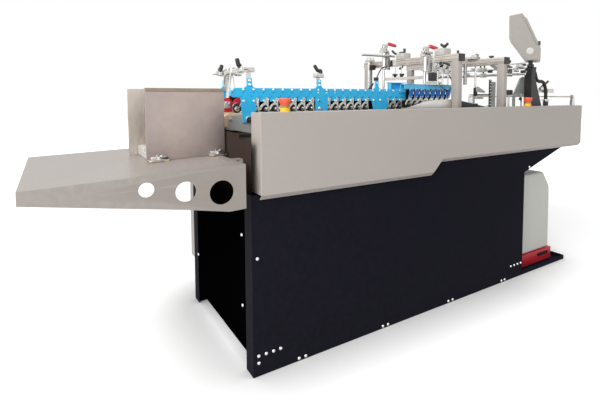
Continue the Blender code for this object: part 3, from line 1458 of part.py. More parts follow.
def control_column():
    low = beam_top() + TOUCH
    crease_x, crease_z = COLUMN_CREASE
    outline = [
        (COLUMN_LEFT, low),
        (COLUMN_FOOT_RIGHT, low),
        (crease_x, crease_z),
        (crease_x + 0.008, COLUMN_TOP),
    ]
    outline += arc((COLUMN_LEFT + COLUMN_ROUND, COLUMN_TOP - COLUMN_ROUND), COLUMN_ROUND, 90, 180, 5)
    column = add_prism("control_column", [outline], "Y", COLUMN_FRONT, COLUMN_BACK, "black")
    socket = add_rod(
        "hose socket",
        (crease_x - 0.006, GLAND_CENTRE[1], HOSE_SOCKET_HEIGHT),
        (HOSE_SOCKET_END, GLAND_CENTRE[1], HOSE_SOCKET_HEIGHT),
        HOSE_SOCKET_RADIUS,
    )
    join(column, [socket])


def screen_box():
    """Neck that swivels on the column and the screen box that tilts on the neck's tongue."""
    x, y = SWIVEL_CENTRE
    swivel = new_empty("box_swivel_axis", (x, y, 0.0), MACHINE, BOX_YAW)
    low = COLUMN_TOP + TOUCH
    neck = add_turned(
        "box_neck",
        [
            (0.0, SWIVEL_TOP),
            (SWIVEL_RADIUS - 0.002, SWIVEL_TOP),
            (SWIVEL_RADIUS, SWIVEL_TOP - 0.002),
            (SWIVEL_RADIUS, low),
            (0.0, low),
        ],
        (0.0, 0.0, 0.0),
        "black",
        swivel,
    )
    apply_modifiers(neck)
    half_x, half_y = TONGUE_HALF
    tongue_outline = [(-half_x, SWIVEL_TOP - 0.003), (half_x, SWIVEL_TOP - 0.003)]
    tongue_outline += arc((0.0, BOX_PIVOT_HEIGHT), half_x, 0, 180, 8)
    tongue = add_prism("neck tongue", [tongue_outline], "Y", -half_y, half_y, parent=swivel)
    join(neck, [tongue])
    bore = add_rod(
        "tongue bore",
        (0.0, -half_y - 0.004, BOX_PIVOT_HEIGHT),
        (0.0, half_y + 0.004, BOX_PIVOT_HEIGHT),
        BOX_PIN_RADIUS + RUNNING,
        sides=CIRCLE,
        parent=swivel,
        group=CUTTERS,
    )
    cut(neck, bore)
    tilt = new_empty("box_tilt_axis", (0.0, 0.0, BOX_PIVOT_HEIGHT), swivel)
    half = BOX_WIDTH / 2
    housing = add_prism("screen_box", [BOX_OUTLINE], "Y", -half, half, "grey cover", tilt)
    slot_x, slot_y = BOX_SLOT_HALF
    slot = add_block("box slot", (-slot_x, -slot_y, -BOX_SLOT_DEPTH), (slot_x, slot_y, slot_y), parent=tilt)
    opening = housing.modifiers.new("slot", "BOOLEAN")
    opening.operation = "DIFFERENCE"
    opening.object = slot
    opening.solver = "EXACT"
    apply_modifiers(housing)
    bpy.data.objects.remove(slot)
    pin_start = (0.0, -slot_y - 0.004, 0.0)
    pin_end = (0.0, slot_y + 0.004, 0.0)
    pin = add_rod("box pin", pin_start, pin_end, BOX_PIN_RADIUS, sides=CIRCLE, parent=tilt)
    join(housing, [pin])


def hose_route():
    """Points of the hose's middle line: out of the column, over a bulge and down to the gland."""
    start = (HOSE_SOCKET_END + HOSE_CAP_TILT, HOSE_SOCKET_HEIGHT)
    bends = [(COLUMN_LEFT + across, TABLE_TOP + up * COLUMN_HEIGHT) for across, up in HOSE_BENDS]
    return [start] + bends + [(GLAND_CENTRE[0], GLAND_TOP + TOUCH)]


def smooth_points(points, steps):
    """A smooth curve through the given points, read at even steps between each pair."""
    ends = [points[0]] + list(points) + [points[-1]]
    route = []
    for index in range(len(points) - 1):
        a, b, c, d = (Vector(point) for point in ends[index:index + 4])
        for step in range(steps):
            t = step / steps
            bend = (2 * a - 5 * b + 4 * c - d) * t**2 + (3 * b - a - 3 * c + d) * t**3
            route.append(0.5 * (2 * b + (c - a) * t + bend))
    route.append(Vector(points[-1]))
    return route


def hose():
    """Black hose between the column and a gland that stands on the near frame beam."""
    gland_x, gland_y = GLAND_CENTRE
    route = smooth_points(hose_route(), 2)
    curve = bpy.data.curves.new("hose", "CURVE")
    curve.dimensions = "3D"
    curve.bevel_depth = HOSE_RADIUS
    curve.bevel_resolution = 3
    curve.use_fill_caps = True
    spline = curve.splines.new("POLY")
    spline.points.add(len(route) - 1)
    for point, (x, z) in zip(spline.points, route):
        point.co = (x, 0.0, z, 1.0)
    add_object("hose", curve, "black", (0.0, gland_y, 0.0))
    low = beam_top() + TOUCH
    add_turned(
        "hose_gland",
        [
            (0.0, GLAND_TOP),
            (HOSE_RADIUS + 0.002, GLAND_TOP),
            (0.016, GLAND_TOP - 0.004),
            (0.016, GLAND_TOP - 0.010),
            (0.012, GLAND_TOP - 0.012),
            (0.012, low),
            (0.0, low),
        ],
        (gland_x, gland_y, 0.0),
        "steel",
        steps=SMALL_CIRCLE,
    )


def stop_buttons():
    """Emergency stop: yellow collar on the cover and a red mushroom head that pushes down."""
    for name, x in zip(STOP_NAMES, STOP_PLACES):
        low = TABLE_TOP + TOUCH
        hole = STOP_STEM_RADIUS + RUNNING
        collar = [
            (hole, STOP_COLLAR_TOP),
            (0.0145, STOP_COLLAR_TOP),
            (0.015, STOP_COLLAR_TOP - 0.004),
            (0.0165, low + 0.003),
            (0.030, low + 0.0015),
            (0.030, low),
            (hole, low),
            (hole, STOP_COLLAR_TOP),
        ]
        add_turned(name + "_stop_collar", collar, (x, STOP_Y, 0.0), "yellow")
        axis = new_empty(name + "_stop_axis", (x, STOP_Y, 0.0), MACHINE)
        head = [
            (0.0, STOP_HEAD_TOP),
            (STOP_HEAD_RADIUS - 0.003, STOP_HEAD_TOP - 0.0005),
            (STOP_HEAD_RADIUS, STOP_HEAD_TOP - 0.003),
            (STOP_HEAD_RADIUS - 0.001, STOP_HEAD_TOP - 0.010),
            (0.0165, STOP_HEAD_BOTTOM + 0.004),
            (0.0155, STOP_HEAD_BOTTOM),
            (STOP_STEM_RADIUS, STOP_HEAD_BOTTOM),
            (STOP_STEM_RADIUS, TABLE_TOP + 0.006),
            (0.0, TABLE_TOP + 0.006),
        ]
        add_turned(name + "_stop_head", head, (0.0, 0.0, 0.0), "red", axis)


base_cabinet()
base_tray()
machine_frame()
covers()
compressor()
delivery_tray()
tray_guides()
lower_carriers()
feeder()
upper_carriers()
middle_carrier()
cross_bar()
post_clamp()
kicker()
gantries()
rack_head("near_rack_head", NEAR_HEAD, "near")
rack_head("far_rack_head", FAR_HEAD, "far")
gantry_bars()
feeder_fittings()
guide_plates()
control_column()
screen_box()
hose()
stop_buttons()
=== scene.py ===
# Looks for the box folder gluer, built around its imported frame.
import json
import math

import bmesh
import bpy
import numpy as np
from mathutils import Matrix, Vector

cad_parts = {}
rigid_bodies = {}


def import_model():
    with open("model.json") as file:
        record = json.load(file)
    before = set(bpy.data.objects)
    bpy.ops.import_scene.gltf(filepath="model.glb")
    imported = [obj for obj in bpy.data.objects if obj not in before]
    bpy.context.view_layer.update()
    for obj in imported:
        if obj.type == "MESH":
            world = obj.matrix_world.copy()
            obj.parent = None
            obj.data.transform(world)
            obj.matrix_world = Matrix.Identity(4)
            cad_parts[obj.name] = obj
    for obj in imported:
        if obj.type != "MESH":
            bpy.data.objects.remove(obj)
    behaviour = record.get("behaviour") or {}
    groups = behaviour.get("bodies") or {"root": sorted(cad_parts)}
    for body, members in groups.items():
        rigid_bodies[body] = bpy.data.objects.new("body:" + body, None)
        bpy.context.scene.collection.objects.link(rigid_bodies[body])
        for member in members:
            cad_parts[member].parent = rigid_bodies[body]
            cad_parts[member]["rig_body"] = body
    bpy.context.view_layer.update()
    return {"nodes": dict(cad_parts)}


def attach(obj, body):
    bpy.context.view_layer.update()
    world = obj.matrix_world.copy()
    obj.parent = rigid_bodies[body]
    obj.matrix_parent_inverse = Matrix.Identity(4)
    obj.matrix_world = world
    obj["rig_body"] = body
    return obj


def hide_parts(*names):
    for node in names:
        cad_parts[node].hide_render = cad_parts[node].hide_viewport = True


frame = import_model()
print("frame loaded:", len(frame["nodes"]), "nodes")

# Machine coordinates (x from the base's left end, y from the front panel) to the frame's origin
shift = np.array([-0.628, -0.3425, 0.0])
turnLimit = math.radians(35)          # sharper edges stay sharp in a smooth surface
front, rear, up = (0, -1, 0), (0, 1, 0), (0, 0, 1)


# numbers that several pieces share
machine = {
    "tableTop": 0.8,
    "beltLevel": 0.787,
    "nearPlate": 0.2513,
    "farPlate": 0.4987,
    "plate": 0.006,
}


def at(x, y, z):
    return np.array([x, y, z], float) + shift


# camera
cameraPlace = {
    "spot": (-0.4776, -1.1743, 0.8503),   # in machine coordinates
    "yaw": 33.693,
    "down": 3.629,
    "lens": 25.78,
    "shiftX": -0.0632,
    "shiftY": -0.1453,
}


def makeCamera():
    data = bpy.data.cameras.new("photo_camera")
    data.lens = cameraPlace["lens"]
    data.sensor_width = 36
    data.shift_x = cameraPlace["shiftX"]
    data.shift_y = cameraPlace["shiftY"]
    data.clip_start = 0.02
    data.clip_end = 60
    camera = bpy.data.objects.new("photo_camera", data)
    bpy.context.scene.collection.objects.link(camera)
    yaw = math.radians(cameraPlace["yaw"])
    down = math.radians(cameraPlace["down"])
    look = Vector((math.sin(yaw) * math.cos(down), math.cos(yaw) * math.cos(down), -math.sin(down)))
    camera.location = at(*cameraPlace["spot"])
    camera.rotation_mode = "QUATERNION"
    camera.rotation_quaternion = look.to_track_quat("-Z", "Y")
    bpy.context.scene.camera = camera


makeCamera()
bpy.context.scene.view_settings.view_transform = "Standard"
print("camera set")


# shader node groups
def newGroup(name, inputs, outputs):
    # an empty node group with its named sockets
    group = bpy.data.node_groups.new(name, "ShaderNodeTree")
    for label, kind, value in inputs:
        socket = group.interface.new_socket(label, in_out="INPUT", socket_type=kind)
        socket.default_value = value
    for label, kind in outputs:
        group.interface.new_socket(label, in_out="OUTPUT", socket_type=kind)
    return group, group.nodes.new("NodeGroupInput"), group.nodes.new("NodeGroupOutput")


def addNode(tree, kind, **settings):
    # a setting is an input's value where the node has such an input, or else one of its options
    node = tree.nodes.new(kind)
    for key, value in settings.items():
        if key in node.inputs:
            node.inputs[key].default_value = value
        else:
            setattr(node, key, value)
    return node


def math2(tree, operation, a, b):
    # one math node; each side is a number or another node's output
    node = addNode(tree, "ShaderNodeMath", operation=operation)
    for slot, value in zip(node.inputs, (a, b)):
        if isinstance(value, (int, float)):
            slot.default_value = value
        else:
            tree.links.new(value, slot)
    return node.outputs[0]


def mixColour(tree, factor, a, b):
    node = addNode(tree, "ShaderNodeMix", data_type="RGBA")
    for slot, value in zip((node.inputs[0], node.inputs[6], node.inputs[7]), (factor, a, b)):
        if isinstance(value, (int, float, tuple)):
            slot.default_value = value
        else:
            tree.links.new(value, slot)
    return node.outputs[2]


def wearGroup():
    # colour shifts in broad soft patches and lightens on edges; roughness follows it
    group, given, out = newGroup(
        "paintWear",
        [
            ("Color", "NodeSocketColor", (0.5, 0.5, 0.5, 1)),
            ("Edge Color", "NodeSocketColor", (0.8, 0.8, 0.8, 1)),
            ("Patch Scale", "NodeSocketFloat", 3.0),
            ("Patch Amount", "NodeSocketFloat", 0.06),
            ("Edge Amount", "NodeSocketFloat", 0.4),
            ("Roughness", "NodeSocketFloat", 0.45),
        ],
        [("Color", "NodeSocketColor"), ("Roughness", "NodeSocketFloat"), ("Edge", "NodeSocketFloat")],
    )
    place = addNode(group, "ShaderNodeTexCoord")
    patches = addNode(group, "ShaderNodeTexNoise", Detail=3.0, Roughness=0.6)
    group.links.new(place.outputs["Object"], patches.inputs["Vector"])
    group.links.new(given.outputs["Patch Scale"], patches.inputs["Scale"])
    fine = addNode(group, "ShaderNodeTexNoise", Scale=60.0, Detail=4.0)
    group.links.new(place.outputs["Object"], fine.inputs["Vector"])
    swing = math2(group, "SUBTRACT", patches.outputs["Fac"], 0.5)
    swing = math2(group, "MULTIPLY", swing, given.outputs["Patch Amount"])
    level = math2(group, "ADD", math2(group, "MULTIPLY", swing, 2.0), 1.0)
    shade = addNode(group, "ShaderNodeVectorMath", operation="SCALE")
    group.links.new(given.outputs["Color"], shade.inputs[0])
    group.links.new(level, shade.inputs["Scale"])
    shape = addNode(group, "ShaderNodeNewGeometry")
    edge = addNode(group, "ShaderNodeMapRange")
    edge.inputs["From Min"].default_value = 0.53
    edge.inputs["From Max"].default_value = 0.62
    group.links.new(shape.outputs["Pointiness"], edge.inputs["Value"])
    worn = math2(group, "MULTIPLY", edge.outputs[0], given.outputs["Edge Amount"])
    worn = math2(group, "MULTIPLY", worn, fine.outputs["Fac"])
    group.links.new(mixColour(group, worn, shade.outputs[0], given.outputs["Edge Color"]), out.inputs["Color"])
    rough = math2(group, "ADD", given.outputs["Roughness"], math2(group, "MULTIPLY", swing, 1.5))
    group.links.new(rough, out.inputs["Roughness"])
    group.links.new(worn, out.inputs["Edge"])
    return group


def peelGroup():
    # the fine orange-peel of powder coat
    group, given, out = newGroup(
        "orangePeel",
        [("Scale", "NodeSocketFloat", 900.0), ("Strength", "NodeSocketFloat", 0.12)],
        [("Normal", "NodeSocketVector")],
    )
    place = addNode(group, "ShaderNodeTexCoord")
    grain = addNode(group, "ShaderNodeTexNoise", Detail=2.0, Roughness=0.5)
    group.links.new(place.outputs["Object"], grain.inputs["Vector"])
    group.links.new(given.outputs["Scale"], grain.inputs["Scale"])
    bump = addNode(group, "ShaderNodeBump", Distance=0.0003)
    group.links.new(given.outputs["Strength"], bump.inputs["Strength"])
    group.links.new(grain.outputs["Fac"], bump.inputs["Height"])
    group.links.new(bump.outputs[0], out.inputs["Normal"])
    return group


def brushGroup():
    # long fine scratches along one axis, and blotches where hands and sheets have rubbed
    group, given, out = newGroup(
        "brushedMetal",
        [
            ("Color", "NodeSocketColor", (0.6, 0.6, 0.6, 1)),
            ("Stain", "NodeSocketColor", (0.4, 0.35, 0.3, 1)),
            ("Along", "NodeSocketVector", (4.0, 400.0, 400.0)),
            ("Stain Scale", "NodeSocketFloat", 6.0),
            ("Stain Amount", "NodeSocketFloat", 0.3),
            ("Roughness", "NodeSocketFloat", 0.35),
            ("Strength", "NodeSocketFloat", 0.15),
        ],
        [("Color", "NodeSocketColor"), ("Roughness", "NodeSocketFloat"), ("Normal", "NodeSocketVector")],
    )
    place = addNode(group, "ShaderNodeTexCoord")
    stretch = addNode(group, "ShaderNodeVectorMath", operation="MULTIPLY")
    group.links.new(place.outputs["Object"], stretch.inputs[0])
    group.links.new(given.outputs["Along"], stretch.inputs[1])
    lines = addNode(group, "ShaderNodeTexNoise", Scale=1.0, Detail=5.0, Roughness=0.7)
    group.links.new(stretch.outputs[0], lines.inputs["Vector"])
    blotch = addNode(group, "ShaderNodeTexNoise", Detail=5.0, Roughness=0.65)
    group.links.new(place.outputs["Object"], blotch.inputs["Vector"])
    group.links.new(given.outputs["Stain Scale"], blotch.inputs["Scale"])
    spread = addNode(group, "ShaderNodeMapRange")
    spread.inputs["From Min"].default_value = 0.45
    spread.inputs["From Max"].default_value = 0.75
    group.links.new(blotch.outputs["Fac"], spread.inputs["Value"])
    stained = math2(group, "MULTIPLY", spread.outputs[0], given.outputs["Stain Amount"])
    base = mixColour(group, stained, given.outputs["Color"], given.outputs["Stain"])
    light = math2(group, "ADD", math2(group, "MULTIPLY", lines.outputs["Fac"], 0.24), 0.88)
    shade = addNode(group, "ShaderNodeVectorMath", operation="SCALE")
    group.links.new(base, shade.inputs[0])
    group.links.new(light, shade.inputs["Scale"])
    group.links.new(shade.outputs[0], out.inputs["Color"])
    rough = math2(group, "MULTIPLY", math2(group, "SUBTRACT", lines.outputs["Fac"], 0.5), 0.5)
    rough = math2(group, "ADD", given.outputs["Roughness"], rough)
    rough = math2(group, "ADD", rough, math2(group, "MULTIPLY", stained, 0.25))
    group.links.new(rough, out.inputs["Roughness"])
    bump = addNode(group, "ShaderNodeBump", Distance=0.0002)
    group.links.new(given.outputs["Strength"], bump.inputs["Strength"])
    group.links.new(lines.outputs["Fac"], bump.inputs["Height"])
    group.links.new(bump.outputs[0], out.inputs["Normal"])
    return group


paintWear = wearGroup()
orangePeel = peelGroup()
brushedMetal = brushGroup()


# materials
def startMaterial(name, metallic=0.0, coat=0.0, specular=0.5):
    material = bpy.data.materials.new(name)
    material.use_nodes = True
    shader = material.node_tree.nodes["Principled BSDF"]
    shader.inputs["Metallic"].default_value = metallic
    shader.inputs["Coat Weight"].default_value = coat
    shader.inputs["Coat Roughness"].default_value = 0.25
    shader.inputs["Specular IOR Level"].default_value = specular
    return material, material.node_tree, shader


def placeGroup(tree, group, **values):
    node = tree.nodes.new("ShaderNodeGroup")
    node.node_tree = group
    for key, value in values.items():
        node.inputs[key.replace("_", " ")].default_value = value
    return node


def paint(name, colour, edge, roughness, patch=0.05, scale=3.0, wear=0.4, peel=0.12, coat=0.0, specular=0.5):
    material, tree, shader = startMaterial(name, coat=coat, specular=specular)
    worn = placeGroup(
        tree, paintWear, Color=(*colour, 1), Edge_Color=(*edge, 1), Patch_Scale=scale,
        Patch_Amount=patch, Edge_Amount=wear, Roughness=roughness,
    )
    skin = placeGroup(tree, orangePeel, Strength=peel)
    tree.links.new(worn.outputs["Color"], shader.inputs["Base Color"])
    tree.links.new(worn.outputs["Roughness"], shader.inputs["Roughness"])
    tree.links.new(skin.outputs["Normal"], shader.inputs["Normal"])
    return material


def brushed(name, colour, stain, along, roughness, amount=0.3, scale=6.0, strength=0.15, metallic=1.0):
    material, tree, shader = startMaterial(name, metallic=metallic)
    metal = placeGroup(
        tree, brushedMetal, Color=(*colour, 1), Stain=(*stain, 1), Along=along, Stain_Scale=scale,
        Stain_Amount=amount, Roughness=roughness, Strength=strength,
    )
    for output, slot in (("Color", "Base Color"), ("Roughness", "Roughness"), ("Normal", "Normal")):
        tree.links.new(metal.outputs[output], shader.inputs[slot])
    return material


def moulded(name, colour, roughness, grain=500.0, bumpAmount=0.1, specular=0.5, coat=0.0):
    material, tree, shader = startMaterial(name, specular=specular, coat=coat)
    place = addNode(tree, "ShaderNodeTexCoord")
    noise = addNode(tree, "ShaderNodeTexNoise", Scale=grain, Detail=3.0)
    dust = addNode(tree, "ShaderNodeTexNoise", Scale=30.0, Detail=4.0)
    for node in (noise, dust):
        tree.links.new(place.outputs["Object"], node.inputs["Vector"])
    dull = tuple(min(1.0, c * 1.35 + 0.006) for c in colour)
    tree.links.new(mixColour(tree, dust.outputs["Fac"], (*colour, 1), (*dull, 1)), shader.inputs["Base Color"])
    rough = math2(tree, "ADD", math2(tree, "MULTIPLY", dust.outputs["Fac"], 0.16), roughness - 0.08)
    tree.links.new(rough, shader.inputs["Roughness"])
    bump = addNode(tree, "ShaderNodeBump", Distance=0.0003, Strength=bumpAmount)
    tree.links.new(noise.outputs["Fac"], bump.inputs["Height"])
    tree.links.new(bump.outputs[0], shader.inputs["Normal"])
    return material


def beltMaterial(name, colour, dark, pitch):
    # woven belt: fine cross ribs and rubbed, greyer streaks along the run
    material, tree, shader = startMaterial(name, specular=0.3)
    place = addNode(tree, "ShaderNodeTexCoord")
    ribs = addNode(tree, "ShaderNodeTexWave", Scale=pitch, Distortion=0.4, Detail=1.0)
    tree.links.new(place.outputs["Object"], ribs.inputs["Vector"])
    stretch = addNode(tree, "ShaderNodeMapping")
    stretch.inputs["Scale"].default_value = (3, 90, 20)
    tree.links.new(place.outputs["Object"], stretch.inputs["Vector"])
    rubs = addNode(tree, "ShaderNodeTexNoise", Scale=1.0, Detail=4.0)
    tree.links.new(stretch.outputs[0], rubs.inputs["Vector"])
    streak = mixColour(tree, rubs.outputs["Fac"], (*colour, 1), (*dark, 1))
    tree.links.new(streak, shader.inputs["Base Color"])
    shader.inputs["Roughness"].default_value = 0.75
    bump = addNode(tree, "ShaderNodeBump", Distance=0.0004, Strength=0.3)
    tree.links.new(ribs.outputs["Fac"], bump.inputs["Height"])
    tree.links.new(bump.outputs[0], shader.inputs["Normal"])
    return material


def paintedSheenPanel(name, low, high):
    # navy end panel painted near black below, with a painted brown reflection on its upper part of the cover that
    # overhangs it
    material, tree, shader = startMaterial(name, specular=0.0)
    place = addNode(tree, "ShaderNodeTexCoord")
    part = addNode(tree, "ShaderNodeSeparateXYZ")
    tree.links.new(place.outputs["Object"], part.inputs[0])
    height = addNode(tree, "ShaderNodeMapRange", interpolation_type="SMOOTHSTEP")
    height.inputs["From Min"].default_value = 0.52
    height.inputs["From Max"].default_value = 0.7
    tree.links.new(part.outputs["Z"], height.inputs["Value"])
    tree.links.new(mixColour(tree, height.outputs[0], (*low, 1), (*high, 1)), shader.inputs["Base Color"])
    shader.inputs["Roughness"].default_value = 0.6
    return material


# each finish: its kind, then that function's values in order, and at the end what differs from its defaults
finishLook = {
    "navyPanel": (paint, (0.0092, 0.0088, 0.0148), (0.05, 0.05, 0.06), 0.65, {"patch": 0.12, "specular": 0.02}),
    "brownDark": (paint, (0.04, 0.03, 0.027), (0.1, 0.08, 0.075), 0.55, {"patch": 0.15, "specular": 0.05}),
    "greyCover": (paint, (0.435, 0.392, 0.36), (0.62, 0.6, 0.57), 0.42, {"patch": 0.025, "wear": 0.3}),
    "boxGrey": (paint, (0.315, 0.284, 0.258), (0.62, 0.6, 0.57), 0.42, {"patch": 0.025, "wear": 0.3}),
    "kickerRed": (paint, (0.78, 0.015, 0.045), (0.8, 0.3, 0.3), 0.36, {"patch": 0.08, "wear": 0.2, "scale": 30.0}),
    # the tray's grey is a darker copy of the cover's paint: painted shade
    "greyTray": (paint, (0.312, 0.272, 0.246), (0.62, 0.6, 0.57), 0.36,
                 {"patch": 0.05, "scale": 5.0, "wear": 0.35}),
    "lightGrey": (paint, (0.62, 0.62, 0.575), (0.72, 0.72, 0.7), 0.48, {"patch": 0.04, "wear": 0.2, "peel": 0.3}),
    "redPaint": (paint, (0.55, 0.01, 0.028), (0.75, 0.25, 0.25), 0.4, {"patch": 0.08, "wear": 0.3}),
    "bluePaint": (paint, (0.018, 0.57, 1.0), (0.35, 0.62, 0.85), 0.33,
                  {"patch": 0.05, "scale": 9.0, "wear": 0.5, "coat": 0.15}),
    "blueDeep": (paint, (0.002, 0.165, 0.62), (0.3, 0.5, 0.8), 0.4, {"patch": 0.1, "scale": 9.0, "specular": 0.15}),
    "endPanel": (paintedSheenPanel, (0.001, 0.001, 0.0014), (0.052, 0.037, 0.032)),
    "greyPlate": (paint, (0.46, 0.475, 0.445), (0.5, 0.5, 0.5), 0.42, {"patch": 0.12, "scale": 14.0}),
    "greenGrey": (paint, (0.4, 0.43, 0.41), (0.7, 0.7, 0.7), 0.35, {"patch": 0.08, "scale": 12.0}),
    "darkWorks": (paint, (0.05, 0.05, 0.052), (0.2, 0.2, 0.2), 0.5, {"patch": 0.2, "scale": 8.0}),
    # the two tray guides are one aluminium sheet: the near guide's darker copy is painted shade and the far guide's
    # lighter copy below is painted light; the blotches are stains
    "sheetAlu": (brushed, (0.325, 0.275, 0.272), (0.56, 0.47, 0.4), (420, 60, 30), 0.4,
                 {"amount": 0.85, "scale": 2.6, "strength": 0.35}),
    "foldBrown": (brushed, (0.27, 0.225, 0.175), (0.4, 0.34, 0.28), (190, 60, 60), 0.45,
                  {"amount": 0.7, "scale": 20.0}),
    "farSheet": (brushed, (0.68, 0.62, 0.55), (0.52, 0.44, 0.36), (260, 60, 24), 0.42,
                 {"amount": 0.7, "scale": 5.0}),
    "brightSheet": (brushed, (0.7, 0.68, 0.65), (0.52, 0.47, 0.41), (40, 200, 40), 0.34,
                    {"amount": 0.5, "scale": 9.0}),
    "beamSheet": (brushed, (0.6, 0.545, 0.49), (0.4, 0.33, 0.27), (300, 6, 300), 0.38,
                  {"amount": 0.8, "scale": 16.0, "metallic": 0.6}),
    "barAlu": (brushed, (0.66, 0.63, 0.59), (0.42, 0.37, 0.32), (300, 8, 300), 0.36,
               {"amount": 0.6, "scale": 26.0}),
    "brightSteel": (brushed, (0.64, 0.63, 0.615), (0.36, 0.35, 0.335), (60, 60, 260), 0.26,
                    {"amount": 0.3, "scale": 60.0}),
    "zincScrew": (brushed, (0.82, 0.81, 0.79), (0.5, 0.5, 0.5), (200, 200, 200), 0.3,
                  {"amount": 0.25, "scale": 90.0}),
    "greyCast": (brushed, (0.5, 0.51, 0.5), (0.33, 0.33, 0.33), (90, 90, 90), 0.45,
                 {"amount": 0.4, "scale": 40.0, "metallic": 0.7}),
    "brassSpacer": (brushed, (0.72, 0.6, 0.4), (0.5, 0.4, 0.3), (200, 200, 60), 0.32,
                    {"amount": 0.3, "scale": 60.0}),
    "blackPlastic": (moulded, (0.016, 0.016, 0.017), 0.45),
    "blackColumn": (moulded, (0.013, 0.01, 0.01), 0.42, {"grain": 900.0, "specular": 0.4}),
    "blackRubber": (moulded, (0.014, 0.014, 0.014), 0.6, {"grain": 300.0, "bumpAmount": 0.2, "specular": 0.35}),
    "stopRed": (moulded, (0.78, 0.085, 0.035), 0.38, {"coat": 0.2}),
    "redGrip": (moulded, (0.66, 0.045, 0.055), 0.4, {"coat": 0.2}),
    "greenRing": (moulded, (0.2, 0.36, 0.1), 0.45),
    "whitePlastic": (moulded, (0.5, 0.495, 0.465), 0.4),
    "holeDark": (moulded, (0.015, 0.022, 0.06), 0.6, {"specular": 0.1}),
    "innerDark": (moulded, (0.01, 0.009, 0.01), 0.7, {"specular": 0.1}),
    "armSteel": (brushed, (0.8, 0.79, 0.75), (0.5, 0.49, 0.46), (80, 80, 200), 0.3,
                 {"amount": 0.25, "scale": 50.0, "metallic": 0.75}),
    "paleCast": (brushed, (0.68, 0.67, 0.63), (0.45, 0.44, 0.4), (90, 90, 90), 0.42,
                 {"amount": 0.35, "scale": 40.0, "metallic": 0.55}),
    "palePaint": (paint, (0.58, 0.56, 0.52), (0.75, 0.74, 0.72), 0.4, {"patch": 0.05, "scale": 20.0}),
    "leverRed": (moulded, (0.1, 0.012, 0.012), 0.4),
    "legendYellow": (moulded, (0.9, 0.5, 0.02), 0.42, {"coat": 0.15}),
    "tanBelt": (beltMaterial, (0.98, 0.74, 0.48), (0.84, 0.62, 0.4), 260.0),
    "paleBelt": (beltMaterial, (0.76, 0.745, 0.72), (0.64, 0.62, 0.6), 260.0),
    "screenGlass": (moulded, (0.012, 0.013, 0.016), 0.12, {"bumpAmount": 0.0, "coat": 0.6}),
}
finish = {}
for name, (kind, *values) in finishLook.items():
    more = values.pop() if isinstance(values[-1], dict) else {}
    finish[name] = kind(name, *values, **more)
print("materials made:", len(finish))


# mesh making
def gridFaces(rows, columns):
    # quads between neighbours of a grid whose columns run round and close, as one array
    r, c = np.meshgrid(np.arange(rows - 1), np.arange(columns), indexing="ij")
    after = (c + 1) % columns
    quads = np.stack([r * columns + c, r * columns + after, (r + 1) * columns + after, (r + 1) * columns + c], -1)
    return quads.reshape(-1, 4)


class Shape:
    # vertices and faces gathered from several surfaces; made into one mesh at the end
    def __init__(self):
        self.points = []
        self.faces = []
        self.count = 0

    def add(self, points, faces):
        points = np.asarray(points, float).reshape(-1, 3)
        self.points.append(points)
        self.faces += [[int(i) + self.count for i in face] for face in faces]
        self.count += len(points)
        return self

    def grid(self, points, capStart, capEnd):
        # rings of points joined by quads, with a flat cap over the first and last ring where asked
        rows, columns = points.shape[:2]
        faces = [list(f) for f in gridFaces(rows, columns)]
        if capStart:
            faces.append(list(range(columns))[::-1])
        if capEnd:
            faces.append([(rows - 1) * columns + i for i in range(columns)])
        return self.add(points, faces)


def frameOf(way):
    # two unit vectors square to a direction, as rows with it
    way = np.asarray(way, float)
    way = way / np.linalg.norm(way)
    other = np.array([0, 0, 1.0]) if abs(way[2]) < 0.9 else np.array([1.0, 0, 0])
    side = np.cross(other, way)
    side /= np.linalg.norm(side)
    return np.array([side, np.cross(way, side), way])


def lathe(shape, profile, spot, way, sides, lobes=None, capped=True):
    # surface of revolution: (radius, height) points turned round the direction way;
    # lobes gives each angle's share of the radius, and a profile that closes itself has no caps
    profile = np.asarray(profile, float)
    angle = np.linspace(0, 2 * math.pi, sides, endpoint=False)
    swell = np.ones(sides) if lobes is None else lobes(angle)
    axes = frameOf(way)
    ring = np.stack([np.cos(angle) * swell, np.sin(angle) * swell], -1) @ axes[:2]
    points = profile[:, 0, None, None] * ring + profile[:, 1, None, None] * axes[2] + np.asarray(spot, float)
    return shape.grid(points, capped, capped)


def roundBox(shape, low, high, radius=0.0015, steps=2):
    # sphere directions, pushed out to the corners of a smaller box, give its rounded edges
    low, high = np.asarray(low, float), np.asarray(high, float)
    half = (high - low) / 2
    radius = min(radius, half.min() * 0.98)
    quarter = np.linspace(0, math.pi / 2, steps + 1)
    east = np.concatenate([quarter + k * math.pi / 2 for k in range(4)])
    north = np.concatenate([quarter - math.pi / 2, quarter])
    signX = np.repeat([1, -1, -1, 1], steps + 1)
    signY = np.repeat([1, 1, -1, -1], steps + 1)
    signZ = np.repeat([-1, 1], steps + 1)
    n, e = np.meshgrid(north, east, indexing="ij")
    normal = np.stack([np.cos(n) * np.cos(e), np.cos(n) * np.sin(e), np.sin(n)], -1)
    corner = np.stack([
        np.broadcast_to(signX, n.shape), np.broadcast_to(signY, n.shape),
        np.broadcast_to(signZ[:, None], n.shape)], -1) * (half - radius)
    points = (low + high) / 2 + corner + normal * radius
    return shape.grid(points, True, True)


def bar(shape, start, end, radius, sides):
    # straight round bar between two points, with a small chamfer at each end
    start, end = np.asarray(start, float), np.asarray(end, float)
    length = np.linalg.norm(end - start)
    nip = radius * 0.18
    profile = [(radius - nip, 0), (radius, nip), (radius, length - nip), (radius - nip, length)]
    return lathe(shape, profile, start, end - start, sides)


def pathFrames(path):
    # side and up vectors along a path, carried on from point to point without twist
    path = np.asarray(path, float)
    way = np.gradient(path, axis=0)
    way /= np.linalg.norm(way, axis=1)[:, None]
    side = np.zeros_like(path)
    side[0] = frameOf(way[0])[0]
    for i in range(1, len(path)):
        s = side[i - 1] - way[i] * np.dot(side[i - 1], way[i])
        side[i] = s / np.linalg.norm(s)
    return side, np.cross(way, side)


